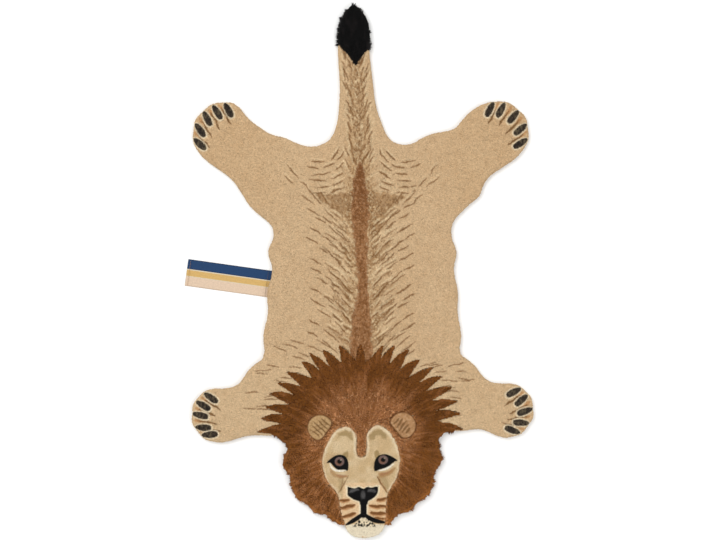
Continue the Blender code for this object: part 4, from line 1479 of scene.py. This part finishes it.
def ribbon_material():
    """Polyester ribbon, woven in stripes along its length: fine close ribs, a slight sheen."""
    made, tree, shader = new_material(
        "woven_polyester_ribbon", Roughness=0.65, IOR=1.55, Specular_IOR_Level=0.15,
        Sheen_Weight=0.02, Sheen_Roughness=0.4)
    place = add_node(tree, "ShaderNodeUVMap", uv_map="ribbon").outputs["UV"]
    # threads of 0.15 mm, drawn at 0.9 and 1.3 mm so that they show
    height = weave(tree, place, 0.9, 1.3)
    parts = add_node(tree, "ShaderNodeSeparateXYZ", [("Vector", place)])
    across = add_node(tree, "ShaderNodeMapRange", [("Value", parts.outputs["Y"])],
                      From_Min=LABEL_WIDTH, From_Max=0.0)
    stripes = add_node(tree, "ShaderNodeValToRGB", [("Fac", across.outputs["Result"])])
    ramp = stripes.color_ramp
    ramp.interpolation = "CONSTANT"
    while len(ramp.elements) < len(RIBBON_STRIPES):
        ramp.elements.new(1.0)
    for element, (start, colour) in zip(ramp.elements, RIBBON_STRIPES):
        element.position = start
        element.color = (*linear(colour), 1)
    slub = add_node(tree, "ShaderNodeTexNoise", [("Vector", place)], Scale=0.35, Detail=3.0)
    # painted shade: darker where the threads dip under each other, times uneven slubs
    mixed = add_node(tree, "ShaderNodeMath", [(0, height), (1, slub.outputs["Fac"])],
                     operation="MULTIPLY")
    weave_shade_and_tone = add_node(tree, "ShaderNodeMapRange", [("Value", mixed.outputs[0])],
                      From_Min=0.05, From_Max=0.6, To_Min=0.6, To_Max=0.86)
    cloth = add_node(tree, "ShaderNodeVectorMath", [
        ("Vector", stripes.outputs["Color"]), ("Scale", weave_shade_and_tone.outputs["Result"])],
        operation="SCALE")
    bump = add_node(tree, "ShaderNodeBump", [("Height", height)], Strength=0.4, Distance=0.15 * MM)
    tree.links.new(cloth.outputs["Vector"], shader.inputs["Base Color"])
    tree.links.new(bump.outputs["Normal"], shader.inputs["Normal"])
    return made


def thread_material():
    """Spun polyester sewing thread: slightly glossy, twisted too finely to show."""
    made, tree, shader = new_material("sewing_thread", Roughness=0.5, IOR=1.55)
    yarn = add_node(tree, "ShaderNodeAttribute", attribute_name="yarn")
    tree.links.new(yarn.outputs["Color"], shader.inputs["Base Color"])
    return made


# ---- stage ---------------------------------------------------------------------------------------
VIEW_WIDTH = 1336.0         # what the photograph's 716 pixels span on the rug
VIEW_MIDDLE = (-7.5, 0.0)
LENS, SENSOR = 85.0, 36.0
FLOOR_DROP = 0.4            # just under the canvas, so that the two faces don't meet
FLOOR_REACH = 6.0           # m, from the middle to each side
SKY_STRENGTH = 0.7


def add_camera():
    data = bpy.data.cameras.new("camera")
    data.lens, data.sensor_width, data.sensor_fit = LENS, SENSOR, "HORIZONTAL"
    camera = bpy.data.objects.new("camera", data)
    camera.location = Vector((*VIEW_MIDDLE, VIEW_WIDTH * LENS / SENSOR + BODY_TOP)) * MM
    bpy.context.scene.collection.objects.link(camera)
    bpy.context.scene.camera = camera


def add_light(name, place, size, power):
    """Soft square light that faces the middle of the rug. Place and size in metres."""
    data = bpy.data.lights.new(name, "AREA")
    data.size, data.energy = size, power
    light = bpy.data.objects.new(name, data)
    light.location = place
    light.rotation_euler = Vector(place).to_track_quat("Z", "Y").to_euler()
    bpy.context.scene.collection.objects.link(light)


def add_stage():
    bm = bmesh.new()
    bmesh.ops.create_grid(bm, x_segments=1, y_segments=1, size=FLOOR_REACH)
    bmesh.ops.translate(bm, verts=bm.verts, vec=(0, 0, -FLOOR_DROP * MM))
    mesh = bpy.data.meshes.new("floor")
    bm.to_mesh(mesh)
    bm.free()
    paint, _, _ = new_material("painted_floor", Base_Color=(*linear("F7F7F6"), 1), Roughness=0.9)
    mesh.materials.append(paint)
    floor = bpy.data.objects.new("floor", mesh)
    bpy.context.scene.collection.objects.link(floor)
    world = bpy.data.worlds.new("studio")
    world.use_nodes = True
    sky = world.node_tree.nodes["Background"]
    sky.inputs["Color"].default_value = (1, 1, 1, 1)
    sky.inputs["Strength"].default_value = SKY_STRENGTH
    bpy.context.scene.world = world
    add_light("key_light", (-1.3, 1.2, 3.0), 2.0, 58)
    add_light("fill_light", (1.8, -1.0, 3.0), 2.4, 34)
    bpy.context.scene.view_settings.view_transform = "Standard"


# ---- all -----------------------------------------------------------------------------------------
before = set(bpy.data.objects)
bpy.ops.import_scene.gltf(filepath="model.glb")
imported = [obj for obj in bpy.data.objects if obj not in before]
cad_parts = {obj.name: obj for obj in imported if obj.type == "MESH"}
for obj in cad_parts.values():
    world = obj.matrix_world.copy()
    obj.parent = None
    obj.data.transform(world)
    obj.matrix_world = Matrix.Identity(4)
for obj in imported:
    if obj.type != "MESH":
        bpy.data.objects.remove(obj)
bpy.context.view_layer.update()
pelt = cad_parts["pelt"]
add_camera()
add_stage()
backing_bm, outline = backing_mesh(pelt)
solid = merged_copy(pelt)
ground = Ground(BVHTree.FromBMesh(solid), measure_rim(outline))
solid.free()
wool = wool_material()
backing = make_backing(backing_bm, canvas_material())
bed = make_bed(ground, wool)
pile = make_pile(ground, wool)
label, stitching = make_label(ribbon_material(), thread_material())
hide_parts("pelt")
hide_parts("label")
